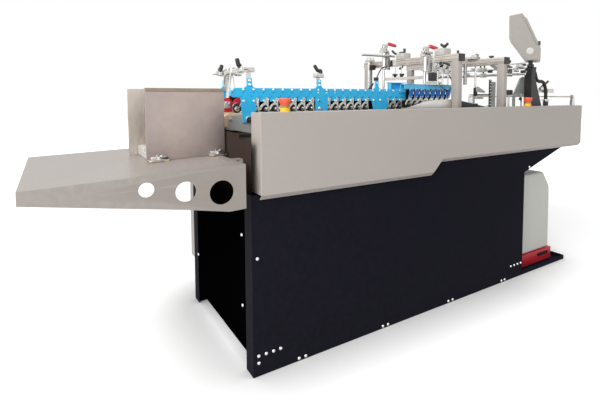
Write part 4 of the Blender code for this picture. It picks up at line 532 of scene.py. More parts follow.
def tube(shape, path, radius, sides):
    # circle carried along a path; radius may be one number or one for each point
    path = np.asarray(path, float)
    side, up = pathFrames(path)
    angle = np.linspace(0, 2 * math.pi, sides, endpoint=False)
    radius = np.broadcast_to(np.asarray(radius, float), (len(path),))
    ring = np.cos(angle)[None, :, None] * side[:, None] + np.sin(angle)[None, :, None] * up[:, None]
    points = path[:, None] + ring * radius[:, None, None]
    return shape.grid(points, True, True)


def smoothPath(points, steps=6):
    # Catmull-Rom curve through the given points, all segments at once
    p = np.asarray(points, float)
    p = np.concatenate([p[:1], p, p[-1:]])
    t = np.linspace(0, 1, steps, endpoint=False)[None, :, None]
    a, b, c, d = (p[i:len(p) - 3 + i, None] for i in range(4))
    curve = 0.5 * (2 * b + (c - a) * t + (2 * a - 5 * b + 4 * c - d) * t ** 2 + (3 * b - a - 3 * c + d) * t ** 3)
    return np.concatenate([curve.reshape(-1, p.shape[1]), p[-1:]])


def plate(shape, outline, axis, low, high, nip=0.0008):
    # flat outline carried along an axis, its edges nipped in by a small chamfer
    outline = np.asarray(outline, float)
    before = outline - np.roll(outline, 1, 0)
    after = np.roll(outline, -1, 0) - outline
    n1 = np.stack([before[:, 1], -before[:, 0]], -1)
    n2 = np.stack([after[:, 1], -after[:, 0]], -1)
    n1 /= np.linalg.norm(n1, axis=1)[:, None] + 1e-12
    n2 /= np.linalg.norm(n2, axis=1)[:, None] + 1e-12
    mitre = n1 + n2
    mitre /= np.linalg.norm(mitre, axis=1)[:, None] + 1e-12
    area = np.sum(outline[:, 0] * np.roll(outline[:, 1], -1) - np.roll(outline[:, 0], -1) * outline[:, 1])
    reach = nip / np.clip(np.sum(mitre * n1, 1), 0.4, 1) * (1 if area > 0 else -1)
    inner = outline - mitre * reach[:, None]
    levels = [(inner, low), (outline, low + nip), (outline, high - nip), (inner, high)]
    rings = []
    for flat, level in levels:
        depth = np.full(len(flat), level)
        columns = {"X": (depth, flat[:, 0], flat[:, 1]), "Y": (flat[:, 0], depth, flat[:, 1]),
                   "Z": (flat[:, 0], flat[:, 1], depth)}[axis]
        rings.append(np.stack(columns, -1))
    return shape.grid(np.array(rings), True, True)


def finishPiece(name, shape, material, body="machine"):
    # one object from a gathered shape: placed in the frame, doubles merged, faces turned out
    mesh = bpy.data.meshes.new(name)
    mesh.from_pydata((np.concatenate(shape.points) + shift).tolist(), [], shape.faces)
    work = bmesh.new()
    work.from_mesh(mesh)
    bmesh.ops.remove_doubles(work, verts=work.verts, dist=0.000005)
    bmesh.ops.dissolve_degenerate(work, dist=0.000005, edges=work.edges)
    bmesh.ops.recalc_face_normals(work, faces=work.faces)
    work.to_mesh(mesh)
    work.free()
    mesh.shade_smooth()
    mesh.set_sharp_from_angle(angle=turnLimit)
    mesh.materials.append(finish[material])
    piece = bpy.data.objects.new(name, mesh)
    bpy.context.scene.collection.objects.link(piece)
    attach(piece, body)
    return piece


def dressNode(name, node, material, width):
    # merged copy of a CAD node with its edges rounded; it stands for the node
    source = frame["nodes"][node]
    mesh = source.data.copy()
    mesh.name = name
    mesh.materials.clear()
    mesh.materials.append(finish[material])
    work = bmesh.new()
    work.from_mesh(mesh)
    bmesh.ops.remove_doubles(work, verts=work.verts, dist=0.00001)
    bmesh.ops.dissolve_limit(
        work, angle_limit=math.radians(1), verts=work.verts, edges=work.edges,
        use_dissolve_boundaries=False, delimit=set(),
    )
    work.to_mesh(mesh)
    work.free()
    for layer in list(mesh.attributes):
        if layer.name == "custom_normal":
            mesh.attributes.remove(layer)
    mesh.shade_smooth()
    mesh.set_sharp_from_angle(angle=turnLimit)
    piece = bpy.data.objects.new(name, mesh)
    bpy.context.scene.collection.objects.link(piece)
    nip = piece.modifiers.new("rounded edges", "BEVEL")
    nip.width = width
    nip.segments = 2
    nip.limit_method = "ANGLE"
    nip.angle_limit = math.radians(30)
    nip.harden_normals = True
    nip.use_clamp_overlap = True
    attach(piece, source["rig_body"])
    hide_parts(node)


def paintNode(node, material):
    mesh = frame["nodes"][node].data
    mesh.materials.clear()
    mesh.materials.append(finish[material])


# the CAD pieces: rounded copies of the large ones, better materials on the rest
dressed = {
    # node: (finish, edge width, slot)
    "front_panel": ("navyPanel", 0.0015, "navy_panel"),
    "rear_panel": ("navyPanel", 0.0015, "navy_panel"),
    "left_end_panel": ("endPanel", 0.001, "navy_panel"),
    "right_end_panel": ("navyPanel", 0.001, "navy_panel"),
    "base_tray": ("navyPanel", 0.0012, "navy_panel"),
    "front_cover": ("greyCover", 0.0018, "grey_cover"),
    "rear_cover": ("greyCover", 0.0018, "grey_cover"),
    "control_cabinet": ("greyCover", 0.002, "grey_cover"),
    "compressor_band": ("redPaint", 0.0015, "red_paint"),
    "compressor_housing": ("lightGrey", 0.012, "light_grey"),
    "delivery_tray": ("greyTray", 0.0009, "grey_cover"),
    "near_tray_guide": ("sheetAlu", 0.0008, "aluminium"),
    "near_lower_carrier": ("greyPlate", 0.0008, "grey_plate"),
    "far_lower_carrier": ("greyPlate", 0.0008, "grey_plate"),
    "feeder_bed": ("brightSheet", 0.001, "aluminium"),
    "kicker_plate": ("kickerRed", 0.0006, "red_paint"),
    "screen_box": ("boxGrey", 0.0025, "grey_cover"),
    "control_column": ("blackColumn", 0.003, "black_plastic"),
    "wedge_plate": ("blackPlastic", 0.0006, "black_plastic"),
    "entry_plate": ("brightSheet", 0.0006, "aluminium"),
}
plain = {
    "frame_deck": "brownDark",
    "feeder_belt": "paleBelt",
    "delivery_cross_bar": "brightSteel",
    "kicker_rod": "greyCast",
    "lower_cross_bar": "barAlu",
    "cross_shafts": "brightSteel",
    "near_stack_guide": "greenGrey",
    "far_stack_guide": "greenGrey",
    "rest_rod": "brightSteel",
    "box_neck": "blackPlastic",
}
for node, (material, width, slotName) in dressed.items():
    dressNode(node + "_shell", node, material, width)
for node, material in plain.items():
    paintNode(node, material)
print("CAD pieces dressed:", len(dressed), "rounded,", len(plain), "painted")


# small parts that come back all over the machine
def capScrew(shape, spot, way, radius, height=None, sides=10):
    # turned head: shoulder, chamfer, flat ring and a sunk socket
    height = height or radius * 0.75
    profile = [(radius, 0), (radius, height * 0.7), (radius * 0.8, height), (radius * 0.45, height),
               (radius * 0.4, height * 0.5)]
    return lathe(shape, profile, spot, way, sides)


def dimple(shape, spot, radius):
    # a drilled hole in an upright sheet, shown by its dark floor just proud of the front
    return lathe(shape, [(radius, 0), (radius * 0.9, 0.0003)], spot, front, 10)


def knurledKnob(shape, spot, way, radius, height, lobes=8):
    # turned knob whose rim swells and shrinks round the axis; the top is dished
    profile = [(radius * 0.45, 0), (radius * 0.5, height * 0.25), (radius * 0.9, height * 0.32),
               (radius, height * 0.42), (radius, height * 0.85), (radius * 0.86, height), (radius * 0.3, height)]
    return lathe(shape, profile, spot, way, lobes * 4, lobes=lambda a: 1 + 0.06 * np.cos(lobes * a))


def clampLever(shape, spot, lean, radius):
    # fat curved handle: a circle carried along a smooth path, swelling towards its round end
    spot = np.asarray(spot, float)
    path = smoothPath([spot + (0, 0, 0.001), spot + (0, 0, 0.01), spot + np.multiply(lean, 0.45) + (0, 0, 0.012),
                       spot + np.multiply(lean, 0.8) + (0, 0, 0.026), spot + np.asarray(lean) + (0, 0, 0.036)], 5)
    share = np.linspace(0, 1, len(path))
    tip = np.sqrt(np.clip(1 - ((share - 0.9) / 0.115).clip(0) ** 2, 0.05, 1))
    return tube(shape, path, radius * (0.86 + 0.16 * np.sin(share * 2.6)) * tip, 14)


# upper carriers: blue plates with windows, drops and humps, and their rims
carrierLook = {
    "left": 0.03, "top": 0.877, "edge": 0.829, "windowTop": 0.844, "knee": 0.8,
    "firstWindow": 0.131, "pitch": 0.0377, "halfWindow": 0.0088,
    "drops": [(0.0665, 0.1235, 0.074, 0.106, 0.756), (0.3645, 0.4225, 0.369, 0.418, 0.792),
              (0.641, 0.7265, 0.65, 0.72, 0.792)],
    "nearHumps": [(0.0995, 0.9105), (0.383, 0.912), (0.667, 0.912)],
    "humpHalf": 0.009, "fillet": 0.015, "corner": 0.0035,
    "nearRight": 0.861, "farRight": 1.115,
}


def carrierWindows(right):
    # window middles along a carrier, apart from those that would fall in a drop
    look = carrierLook
    places = look["firstWindow"] + look["pitch"] * np.arange(40)
    places = places[places < right - 0.018]
    half = look["halfWindow"]
    for low, high, *rest in look["drops"]:
        places = places[(places + half * 0.2 < low) | (places - half * 0.6 > high)]
    return places


def carrierOutline(right, humps):
    # lower edge from left to right with its windows and drops, then back along the humps
    look = carrierLook
    edge, top, half = look["edge"], look["windowTop"], look["halfWindow"]
    nose = (look["top"] - top) / 2
    points = [(look["left"] + nose, top)]
    drops = {drop[0]: drop for drop in look["drops"]}
    starts = sorted([(x - half, x + half, None) for x in carrierWindows(right)]
                    + [(drop[0], drop[1], drop) for drop in look["drops"]], key=lambda item: item[0])
    last = None
    for index, (low, high, drop) in enumerate(starts):
        following = starts[index + 1] if index + 1 < len(starts) else None
        if drop is None:
            if last is not None and low < last + 0.003:
                points += [(last, top)]
            else:
                points += [(low, edge), (low, top - 0.003), (low + 0.003, top)]
            if following is not None and following[2] is not None and high > following[0] - 0.004:
                high = following[0]
                points += [(high, top)]
            else:
                points += [(high - 0.003, top), (high, top - 0.003), (high, edge)]
        else:
            if index == 0 or points[-1][0] < low - 0.0005:
                points += [(low, top if index == 0 else edge)]
            points += [(drop[2], drop[4] + 0.002), (drop[2] + 0.002, drop[4]),
                       (drop[3] - 0.002, drop[4]), (drop[3], drop[4] + 0.002), (high, look["knee"])]
            if following is None or following[0] > high + 0.003:
                points += [(high, edge)]
        last = high
    points += [(right, edge), (right, look["top"])]
    side, fillet, corner = look["humpHalf"], look["fillet"], look["corner"]
    turn = np.radians(np.linspace(0, 90, 6))
    for x, high in reversed(humps):
        level = look["top"] + fillet
        points += list(zip(x + side + fillet - fillet * np.sin(turn), level - fillet * np.cos(turn)))
        points += list(zip(x + side - corner + corner * np.cos(turn), high - corner + corner * np.sin(turn)))
        points += list(zip(x - side + corner - corner * np.sin(turn), high - corner + corner * np.cos(turn)))
        points += list(zip(x - side - fillet + fillet * np.cos(turn), level - fillet * np.sin(turn)))
    turn = np.radians(np.linspace(90, 262, 14))
    middle = look["top"] - nose
    points += list(zip(look["left"] + nose + nose * np.cos(turn), middle + nose * np.sin(turn)))
    return points


def makeCarriers():
    # each plate is its outline carried across its thickness; the near one has a folded nose and a channel
    look = carrierLook
    near = machine["nearPlate"]
    low = near - machine["plate"] - 0.0003
    shape = Shape()
    plate(shape, carrierOutline(look["nearRight"], look["nearHumps"]), "Y", low, low + machine["plate"], 0.0006)
    nose = (look["top"] - look["windowTop"]) / 2
    # the nose is folded back: a band along its round end
    turn = np.radians(np.linspace(95, 265, 14))
    ring = np.stack([np.cos(turn), np.sin(turn)], -1)
    middle = np.array([look["left"] + nose, look["top"] - nose])
    outer, inner = middle + ring * nose, middle + ring * (nose - 0.0025)
    tail = np.array([[0.064, look["windowTop"]], [0.064, look["windowTop"] + 0.0025]])
    band = np.concatenate([outer, tail[:1], tail[1:], inner[::-1]])
    plate(shape, band, "Y", low + 0.004, low + 0.02, 0.0004)
    # channel on its right end, open to the front, under a flat flange
    x0, x1, back = 0.743, 0.809, low + 0.022
    for box in (((x0, low, 0.87), (x0 + 0.003, back, 0.907)), ((x1 - 0.003, low, 0.87), (x1, back, 0.907)),
                ((x0, back - 0.003, 0.87), (x1, back, 0.907)), ((x0, low, 0.904), (0.835, back + 0.011, 0.907))):
        roundBox(shape, *box, radius=0.0006, steps=1)
    piece = finishPiece("near_carrier_plate", shape, "bluePaint")
    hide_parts("near_upper_carrier")
    shape = Shape()
    far = machine["farPlate"] + 0.0003
    plate(shape, carrierOutline(look["farRight"], look["nearHumps"][:1]), "Y", far, far + machine["plate"], 0.0006)
    piece = finishPiece("far_carrier_plate", shape, "bluePaint")
    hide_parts("far_upper_carrier")


screwLook = {
    "first": 0.038, "pitch": 0.0378, "count": 21,
    "dropTabs": [0.0765, 0.114, 0.38, 0.6465, 0.684],
    # x, how far behind the plate's face, height, radius and head height
    "single": [(0.0995, 0, 0.9025, 0.0048, 0.0035), (0.0995, 0, 0.8885, 0.0048, 0.0035), (0.383, 0, 0.904,
                0.0048, 0.0035),
               (0.383, 0, 0.89, 0.0048, 0.0035), (0.383, 0, 0.801, 0.0062, 0.004), (0.667, 0, 0.903, 0.0032, 0.003),
               (0.758, 0.019, 0.875, 0.004), (0.797, 0.019, 0.875, 0.004), (0.036, 0, 0.87, 0.0038)],
    "bearingRim": [(0.0118, 0), (0.0118, 0.0055), (0.0105, 0.007), (0.0075, 0.007), (0.007, 0.005)],
    "bearingCore": [(0.0072, 0), (0.0072, 0.0062), (0.003, 0.007), (0.0022, 0.0045)],
}


def dressCarriers():
    # screws and drilled holes on the near plate, at the pitch of the windows
    look = screwLook
    face = machine["nearPlate"] - machine["plate"] - 0.0003
    heads, holes, tabs = Shape(), Shape(), Shape()
    for x in look["first"] + look["pitch"] * np.arange(look["count"]):
        onHump = 0.66 < x < 0.674 or 0.376 < x < 0.39
        if x < 0.8:
            capScrew(heads, (x, face, 0.8715), front, 0.0036 if onHump else 0.0042)
        if 0.37 < x < 0.46:
            capScrew(heads, (x, face, 0.8605), front, 0.0026)
        else:
            dimple(holes, (x, face, 0.8605), 0.0019)
        dimple(holes, (x - 0.008, face, 0.8478), 0.0017)
    for x in list(carrierWindows(carrierLook["nearRight"]) + 0.0225) + look["dropTabs"]:
        if x < 0.82 and not 0.36 < x < 0.375 and not 0.64 < x < 0.645:
            capScrew(tabs, (x, face, 0.831), front, 0.0047, 0.0042)
    for x, back, z, *sizes in look["single"]:
        capScrew(heads, (x, face + back, z), front, *sizes)
    finishPiece("carrier_screws", heads, "zincScrew")
    finishPiece("carrier_tab_screws", tabs, "zincScrew")
    finishPiece("carrier_holes", holes, "holeDark")
    # round bearing at the tip of the first drop: silver rim, black middle
    spot = (0.0945, face, 0.7672)
    finishPiece("tip_bearing_rim", lathe(Shape(), look["bearingRim"], spot, front, 28), "brightSteel")
    finishPiece("tip_bearing_core", lathe(Shape(), look["bearingCore"], spot, front, 20), "blackPlastic")


# press rollers: hooked silver arms over black rollers, in rows of one pitch
rollerLook = {
    "radius": 0.0134, "centre": (-0.0035, 0.802), "backLow": 0.7925,
    "hub": [(0.005, 0), (0.005, 0.0018), (0.0038, 0.0028), (0.0016, 0.0028)],
    # an arm's outline about its window's middle: x, and height over the floor
    "arm": [(-0.008, 0.847), (0.008, 0.847), (0.0072, 0.833), (0.0052, 0.824), (0.0058, 0.814),
            (0.0075, 0.802), (0.008, 0.7905), (0.003, 0.7905), (0.0015, 0.801), (0.0005, 0.811),
            (-0.003, 0.8165), (-0.009, 0.8175), (-0.015, 0.814), (-0.0205, 0.807), (-0.0245, 0.7975),
            (-0.0295, 0.7975), (-0.0285, 0.806), (-0.0245, 0.815), (-0.0185, 0.8215), (-0.0115, 0.8255),
            (-0.0082, 0.831)],
}


def roundCorners(outline, share=0.28):
    # cuts each corner of a closed outline twice, which leaves a soft curve through it
    for step in range(2):
        after = np.roll(outline, -1, 0)
        outline = np.stack([outline + (after - outline) * share, after - (after - outline) * share], 1).reshape(-1, 2)
    return outline


def makeRollers(name, node, windows, face, side, lift=0.0, railHigh=0.858):
    # arms are a rounded outline carried across their thickness; rollers and hubs are turned profiles
    look = rollerLook
    arms, rollers, hubs, back = Shape(), Shape(), Shape(), Shape()
    away = (0, -side, 0)
    r = look["radius"]
    tread = [(r * 0.55, 0), (r - 0.0015, 0), (r, 0.0015), (r, 0.0105), (r - 0.0015, 0.012), (r * 0.5, 0.012)]
    y0, y1 = sorted((face + side * 0.001, face + side * 0.0045))
    for x in windows:
        plate(arms, roundCorners(np.add(look["arm"], (x, lift))), "Y", y0, y1, 0.0004)
        # a sprung upper bar seen through the window, and a pin where it turns
        y = face - side * 0.001
        bar(arms, (x + 0.0052, y, 0.8405 + lift), (x - 0.0015, y, 0.823 + lift), 0.002, 8)
        cx, cz = x + look["centre"][0], look["centre"][1] + lift
        lathe(rollers, tread, (cx, face + side * 0.005, cz), (0, side, 0), 20)
        lathe(hubs, look["hub"], (cx + 0.001, face + side * 0.0012, cz + 0.001), away, 12)
        lathe(hubs, [(r * 0.55, 0), (r * 0.5, 0.0015)], (cx, face + side * 0.0058, cz), away, 14)
    # near-black plate behind the row, painted shade for the dark inside of the carrier, and the rail from which its
    # arms hang, in the same near black
    left, right = min(windows) - (0.012 if lift else 0.028), max(windows) + 0.014
    inner = sorted((face + side * 0.0185, face + side * 0.02))
    roundBox(back, (left, inner[0], look["backLow"] + lift), (right, inner[1], railHigh), 0.0004, 1)
    rail = sorted((face + side * 0.0048, face + side * 0.019))
    roundBox(back, (left + 0.01, rail[0], railHigh - 0.012), (right, rail[1], railHigh - 0.001), 0.0006, 1)
    piece = finishPiece(name + "_arms", arms, "armSteel")
    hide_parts(node)
    finishPiece(name + "_rollers", rollers, "blackRubber")
    finishPiece(name + "_hubs", hubs, "brightSteel")
    finishPiece(name + "_painted_shade_back", back, "innerDark")


# middle carrier: first arm, pitch and number, its front face and its height
middleLook = {
    "first": 0.8328, "pitch": 0.0336, "count": 8, "face": 0.2158, "low": 0.8785, "high": 0.9,
    "left": 0.79, "right": 1.07, "backRight": 1.115, "tabHalf": 0.0106,
    # silver clip over a tab's top, which runs down its right side: x from the tab's middle, y, height
    "clip": [(-0.0125, -0.0042, 0.872), (-0.006, -0.0044, 0.8785), (0.006, -0.0044, 0.8775),
             (0.012, -0.0042, 0.869), (0.0125, -0.0042, 0.856)],
}
middlePlaces = middleLook["first"] + middleLook["pitch"] * np.arange(middleLook["count"])


def makeMiddle():
    # channel with a lip along its front, and tabs with round ends hanging from it, one to each arm
    look = middleLook
    face, low, high, half = look["face"], look["low"], look["high"], look["tabHalf"]
    left, right = look["left"], look["right"]
    channel, tabs, rims, heads = Shape(), Shape(), Shape(), Shape()
    roundBox(channel, (left, face - 0.004, low), (right, face - 0.0012, high), 0.0008, 1)
    roundBox(channel, (left, face - 0.004, high - 0.003), (right, face + 0.023, high), 0.0008, 1)
    roundBox(channel, (left, face + 0.0202, 0.864), (look["backRight"], face + 0.023, high), 0.0008, 1)
    piece = finishPiece("middle_channel", channel, "bluePaint")
    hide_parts("middle_upper_carrier")
    turn = np.radians(np.linspace(180, 360, 11))
    for x in middlePlaces:
        outline = list(zip(x + half * np.cos(turn), 0.8515 + 0.0125 * np.sin(turn)))
        outline += [(x + half, 0.87), (x + half * 0.6, low), (x - half * 0.6, low), (x - half, 0.87)]
        plate(tabs, outline, "Y", face - 0.0034, face - 0.0006, 0.0006)
        tube(rims, smoothPath(np.array(look["clip"]) + (x, face, 0), 4), 0.0016, 7)
        capScrew(rims, (x - 0.001, face - 0.0034, 0.845), front, 0.0026)
        capScrew(heads, (x - 0.0168, face + 0.008, high), up, 0.0034, 0.0022)
    finishPiece("middle_tabs", tabs, "blueDeep")
    finishPiece("middle_clips", rims, "brightSteel")
    finishPiece("middle_screws", heads, "zincScrew")


makeCarriers()
dressCarriers()
makeRollers("near_row", "near_press_rollers", carrierWindows(carrierLook["nearRight"]), 0.2516, 1)
makeRollers("far_row", "far_press_rollers", carrierWindows(carrierLook["farRight"]), 0.4984, -1)
makeRollers("middle_row", "middle_press_rollers", middlePlaces, middleLook["face"], 1, lift=0.012, railHigh=0.875)
makeMiddle()
print("carriers and press rollers made")


# rows of plain parts: a piece group's dictionary lists them, each row with the shape it goes into
def newShapes(look):
    # one empty shape for each piece of the group
    return {key: Shape() for key in look["pieces"]}


def addRows(shapes, look):
    # each list belongs to one shape function, and a row's numbers go straight to it
    for key, low, high, radius, *steps in look.get("boxes", ()):
        roundBox(shapes[key], low, high, radius, *steps)
    for key, start, end, radius, sides in look.get("bars", ()):
        bar(shapes[key], start, end, radius, sides)
    for key, spot, way, *sizes in look.get("screws", ()):
        capScrew(shapes[key], spot, way, *sizes)
    for key, spot, way, *sizes in look.get("knobs", ()):
        knurledKnob(shapes[key], spot, way, *sizes)
    for key, points, steps, radius, sides in look.get("tubes", ()):
        tube(shapes[key], smoothPath(points, steps), radius, sides)
    for key, profile, spot, way, sides in look.get("turned", ()):
        lathe(shapes[key], profile, spot, way, sides)
    for key, outline, low, high, nip, share in look.get("plates", ()):
        outline = roundCorners(np.array(outline), share) if share else outline
        plate(shapes[key], outline, "Y", low, high, nip)


def finishRows(shapes, look):
    # each row: shape, then its piece's name, finish, and perhaps its slot and the node it stands for
    for key, (name, material, *rest) in look["pieces"].items():
        piece = finishPiece(name, shapes[key], material)
        if rest:
            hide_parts(rest[1])


# kicker: tyre, hub and its arm, and the grey block in front of the red plate
kickerLook = {
    "axis": (0.076, 0.3105, 0.8035),
    # radius, and place along the axle
    "tyre": [(0.009486, -0.005), (0.01377, -0.0062), (0.0153, -0.004), (0.0153, 0.004), (0.01377, 0.0062),
             (0.009486, 0.005), (0.008568, 0)],
    "hub": [(0.009639, -0.0048), (0.009639, 0.0048), (0.00765, 0.006), (0.005202, 0.006), (0.00459, 0.0066),
            (0.0036, 0.0066), (0.0036, -0.0048)],
    "guardShift": (0.003, 0.001), "guardTurn": (95, 250, 16), "guardRadii": (0.0212, 0.0168),
    "guardWidth": (0.3085, 0.3172),
    "pieces": {"arm": ("kicker_arm", "brightSteel"), "block": ("kicker_block", "greyCast"),
               "screws": ("kicker_screws", "zincScrew")},
    "tubes": [("arm", [(0.0765, 0.3015, 0.8035), (0.085, 0.3015, 0.812), (0.0905, 0.304, 0.826),
                       (0.0925, 0.312, 0.8405)], 5, 0.0021, 8)],
    "boxes": [("block", (0.03, 0.304, 0.805), (0.05, 0.3172, 0.83), 0.0012),
              ("block", (0.033, 0.302, 0.808), (0.047, 0.305, 0.818), 0.0008)],
    "screws": [("screws", (0.035, 0.304, 0.825), front, 0.0026), ("screws", (0.0455, 0.304, 0.8225), front,
                0.0026)],
}


def makeKicker():
    # tyre and hub are turned profiles, the guard a band along an arc, the arm a circle carried along a curve
    look = kickerLook
    axis = np.array(look["axis"])
    tyre, hub = Shape(), Shape()
    lathe(tyre, look["tyre"] + look["tyre"][:1], axis, front, 36, capped=False)
    lathe(hub, look["hub"], axis, front, 28)
    piece = finishPiece("wheel_tyre", tyre, "blackRubber", body="wheel")
    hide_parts("kicker_wheel")
    finishPiece("wheel_hub", hub, "brightSteel", body="wheel")
    shapes = newShapes(look)
    turn = np.radians(np.linspace(*look["guardTurn"]))
    ring = np.stack([np.cos(turn), np.sin(turn)], -1)
    middle = axis[[0, 2]] + look["guardShift"]
    outer, inner = look["guardRadii"]
    band = np.concatenate([middle + ring * outer, (middle + ring * inner)[::-1]])
    plate(shapes["arm"], band, "Y", *look["guardWidth"], 0.0006)
    addRows(shapes, look)
    finishRows(shapes, look)


# cross bar over the delivery end: flat clamps, knuckle, rods and levers
crossBarLook = {
    # left and right end, y and height of each flat clamp, and the radius of its ends
    "flatClamps": [(0.069, 0.1205, 0.255, 0.94), (0.0905, 0.129, 0.55, 0.937)],
    "clampEnd": 0.0088,
    # each lever's foot, the lean of its handle and its thickness
    "levers": [((0.0995, 0.337, 0.948), (-0.012, -0.004, 0.0), 0.008),
               ((0.0995, 0.558, 0.948), (0.006, -0.006, -0.01), 0.0078),
               ((0.395, 0.2553, 0.935), (-0.027, 0.002, -0.005), 0.0068)],
    "leverFoot": [(0.0076, 0), (0.008, 0.006), (0.0072, 0.011), (0.004, 0.013)],
    "pieces": {"pale": ("cross_bar_clamps", "paleCast"), "dark": ("cross_bar_slots", "darkWorks"),
               "black": ("cross_bar_knob", "blackPlastic")},
    "boxes": [("pale", (0.082, 0.438, 0.933), (0.115, 0.462, 0.945), 0.0015),
              ("pale", (0.112, 0.395, 0.925), (0.13, 0.43, 0.932), 0.0015)],
    # knuckle, its pin and stub, the slanted rod, and the thin rods beside it
    "bars": [("pale", (0.0995, 0.442, 0.948), (0.0995, 0.468, 0.948), 0.01, 18),
             ("pale", (0.0995, 0.4, 0.94), (0.0995, 0.425, 0.94), 0.0105, 16),
             ("pale", (0.088, 0.465, 0.935), (0.096, 0.505, 0.88), 0.0038, 10),
             ("pale", (0.047, 0.326, 0.822), (0.0995, 0.43, 0.942), 0.0045, 12),
             ("pale", (0.106, 0.43, 0.933), (0.08, 0.33, 0.86), 0.0022, 8),
             ("pale", (0.07, 0.566, 0.937), (0.092, 0.566, 0.937), 0.0032, 10)],
    "turned": [("pale", [(0.0105, 0), (0.0105, 0.007), (0.0085, 0.009), (0.0045, 0.009), (0.004, 0.007)],
                (0.106, 0.435, 0.95), (0.2, -1, 0), 20)],
    "knobs": [("black", (0.085, 0.49, 0.948), (-1, 0, 0), 0.0055, 0.01, 6)],
}
humpLook = {
    # post and clamp on the second hump
    "pieces": {"post": ("hump_clamp", "paleCast", "steel", "post_clamp")},
    "boxes": [("post", (0.3775, 0.2515, 0.89), (0.3885, 0.259, 0.922), 0.0008),
              ("post", (0.365, 0.246, 0.9195), (0.406, 0.264, 0.9355), 0.003, 3)],
    "screws": [("post", (0.3725, 0.246, 0.9275), front, 0.0036)],
}


def makeCrossBar():
    # a flat clamp is a bar with half-round ends, carried across its thickness
    look = crossBarLook
    shapes = newShapes(look)
    pale = shapes["pale"]
    turn = np.radians(np.linspace(-90, 90, 8))
    r = look["clampEnd"]
    for x0, x1, y, z in look["flatClamps"]:
        right = list(zip(x1 - r + r * np.cos(turn), z + r * np.sin(turn)))
        left = list(zip(x0 + r - r * np.cos(turn), z - r * np.sin(turn)))
        plate(pale, right + left, "Y", y - 0.01, y + 0.01, 0.0012)
        roundBox(shapes["dark"], (x0 + 0.01, y - 0.0106, z - 0.0012), (x0 + 0.03, y - 0.0094, z + 0.002),
                 0.0004, 1)
        capScrew(pale, (x1 - 0.0085, y - 0.0098, z - 0.001), front, 0.0042)
        bar(pale, (x0 + 0.006, y, z + 0.008), (x0 + 0.006, y, z + 0.0115), 0.0038, 10)
    addRows(shapes, look)
    finishRows(shapes, look)
    for number, (foot, lean, thick) in enumerate(look["levers"], 1):
        lever = Shape()
        lathe(lever, look["leverFoot"], foot, up, 16)
        clampLever(lever, np.add(foot, (0, 0, 0.0015)), lean, thick)
        piece = finishPiece("lever_%d_handle" % number, lever, "blackPlastic", body="lever_%d" % number)
        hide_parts("clamp_lever_%d" % number)
    shapes = newShapes(humpLook)
    addRows(shapes, humpLook)
    finishRows(shapes, humpLook)


# carriers' grey side plates: bolts on the noses, cheeks that give them one slanted lower edge, and a lip below
noseLook = {
    "bolts": ((0.0325, 0.7685, 0.0063), (0.185, 0.735, 0.005), (0.655, 0.735, 0.005), (1.155, 0.735, 0.005)),
    "cheek": [(0.0345, 0.7815), (0.025, 0.775), (0.0215, 0.764), (0.0215, 0.748), (0.027, 0.734),
              (0.116, 0.716), (0.12, 0.78)],
    "lip": ((0.0006, 0.096, 0.712), (0.003, 0.574, 0.733)),
}


def makeNoseBolts():
    # turned bolt heads, cheeks as an outline carried across a thin sheet, and the lip as a rounded strip in the end
    # panel's finish, which carries its painted brown reflection up to the noses
    bolts, cheeks, lip = Shape(), Shape(), Shape()
    for x, z, r in noseLook["bolts"]:
        for y, way in ((machine["nearPlate"], front), (machine["farPlate"], rear)):
            capScrew(bolts, (x, y, z), way, r, r * 0.6, 14)
    finishPiece("carrier_bolts", bolts, "zincScrew")
    for y in (machine["nearPlate"] - 0.0006, machine["farPlate"] - 0.0006):
        plate(cheeks, noseLook["cheek"], "Y", y, y + 0.0012, 0.0004)
    finishPiece("nose_cheeks", cheeks, "greyPlate")
    roundBox(lip, *noseLook["lip"], 0.0004, 1)
    finishPiece("end_lip", lip, "endPanel")


beltLook = {
    "radius": 0.03, "thick": 0.003, "left": 0.004, "right": 1.285,
    # each belt's width, and where the pale edges of its slider bed stand
    "belts": ((0.2578, 0.3178, (0.2545, 0.3183)), (0.4322, 0.4922, (0.429, 0.4925))),
}


def beltLoop(radius, level, turn):
    # arc round the left pulley, then along to the right pulley and its mirrored arc
    r, left, right = beltLook["radius"], beltLook["left"], beltLook["right"]
    first = np.stack([left + r + radius * np.cos(turn), level + radius * np.sin(turn)], -1)
    last = np.stack([right - r - radius * np.cos(turn), level + radius * np.sin(turn)], -1)[::-1]
    return np.concatenate([first, last])


def makeBelts():
    # each belt is a stadium outline carried across its width; the return run below is coloured dark brown, painted
    # shade
    look = beltLook
    r = look["radius"]
    inner = r - look["thick"]
    level = machine["beltLevel"] - r
    upper = np.radians(np.linspace(208, 90, 18))
    lower = np.radians(np.linspace(208.5, 270, 8))
    tan, dark, edges = Shape(), Shape(), Shape()
    half = np.stack([look["left"] + r + (r - 0.0002) * np.cos(upper), level + (r - 0.0002) * np.sin(upper)], -1)
    disc = np.concatenate([half, [[0.05, half[-1, 1]], [0.05, half[0, 1]]]])
    for y0, y1, edgeY in look["belts"]:
        for shape, turn in ((tan, upper), (dark, lower)):
            run = np.concatenate([beltLoop(r, level, turn), beltLoop(inner, level, turn)[::-1]])
            plate(shape, run, "Y", y0, y1, 0.0003)
        for y in edgeY:
            plate(edges, disc, "Y", y, y + 0.003, 0.0003)
    piece = finishPiece("belt_runs", tan, "tanBelt")
    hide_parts("near_lower_belt")
    piece = finishPiece("belt_returns_shaded", dark, "brownDark")
    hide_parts("far_lower_belt")
    finishPiece("belt_edges", edges, "tanBelt")


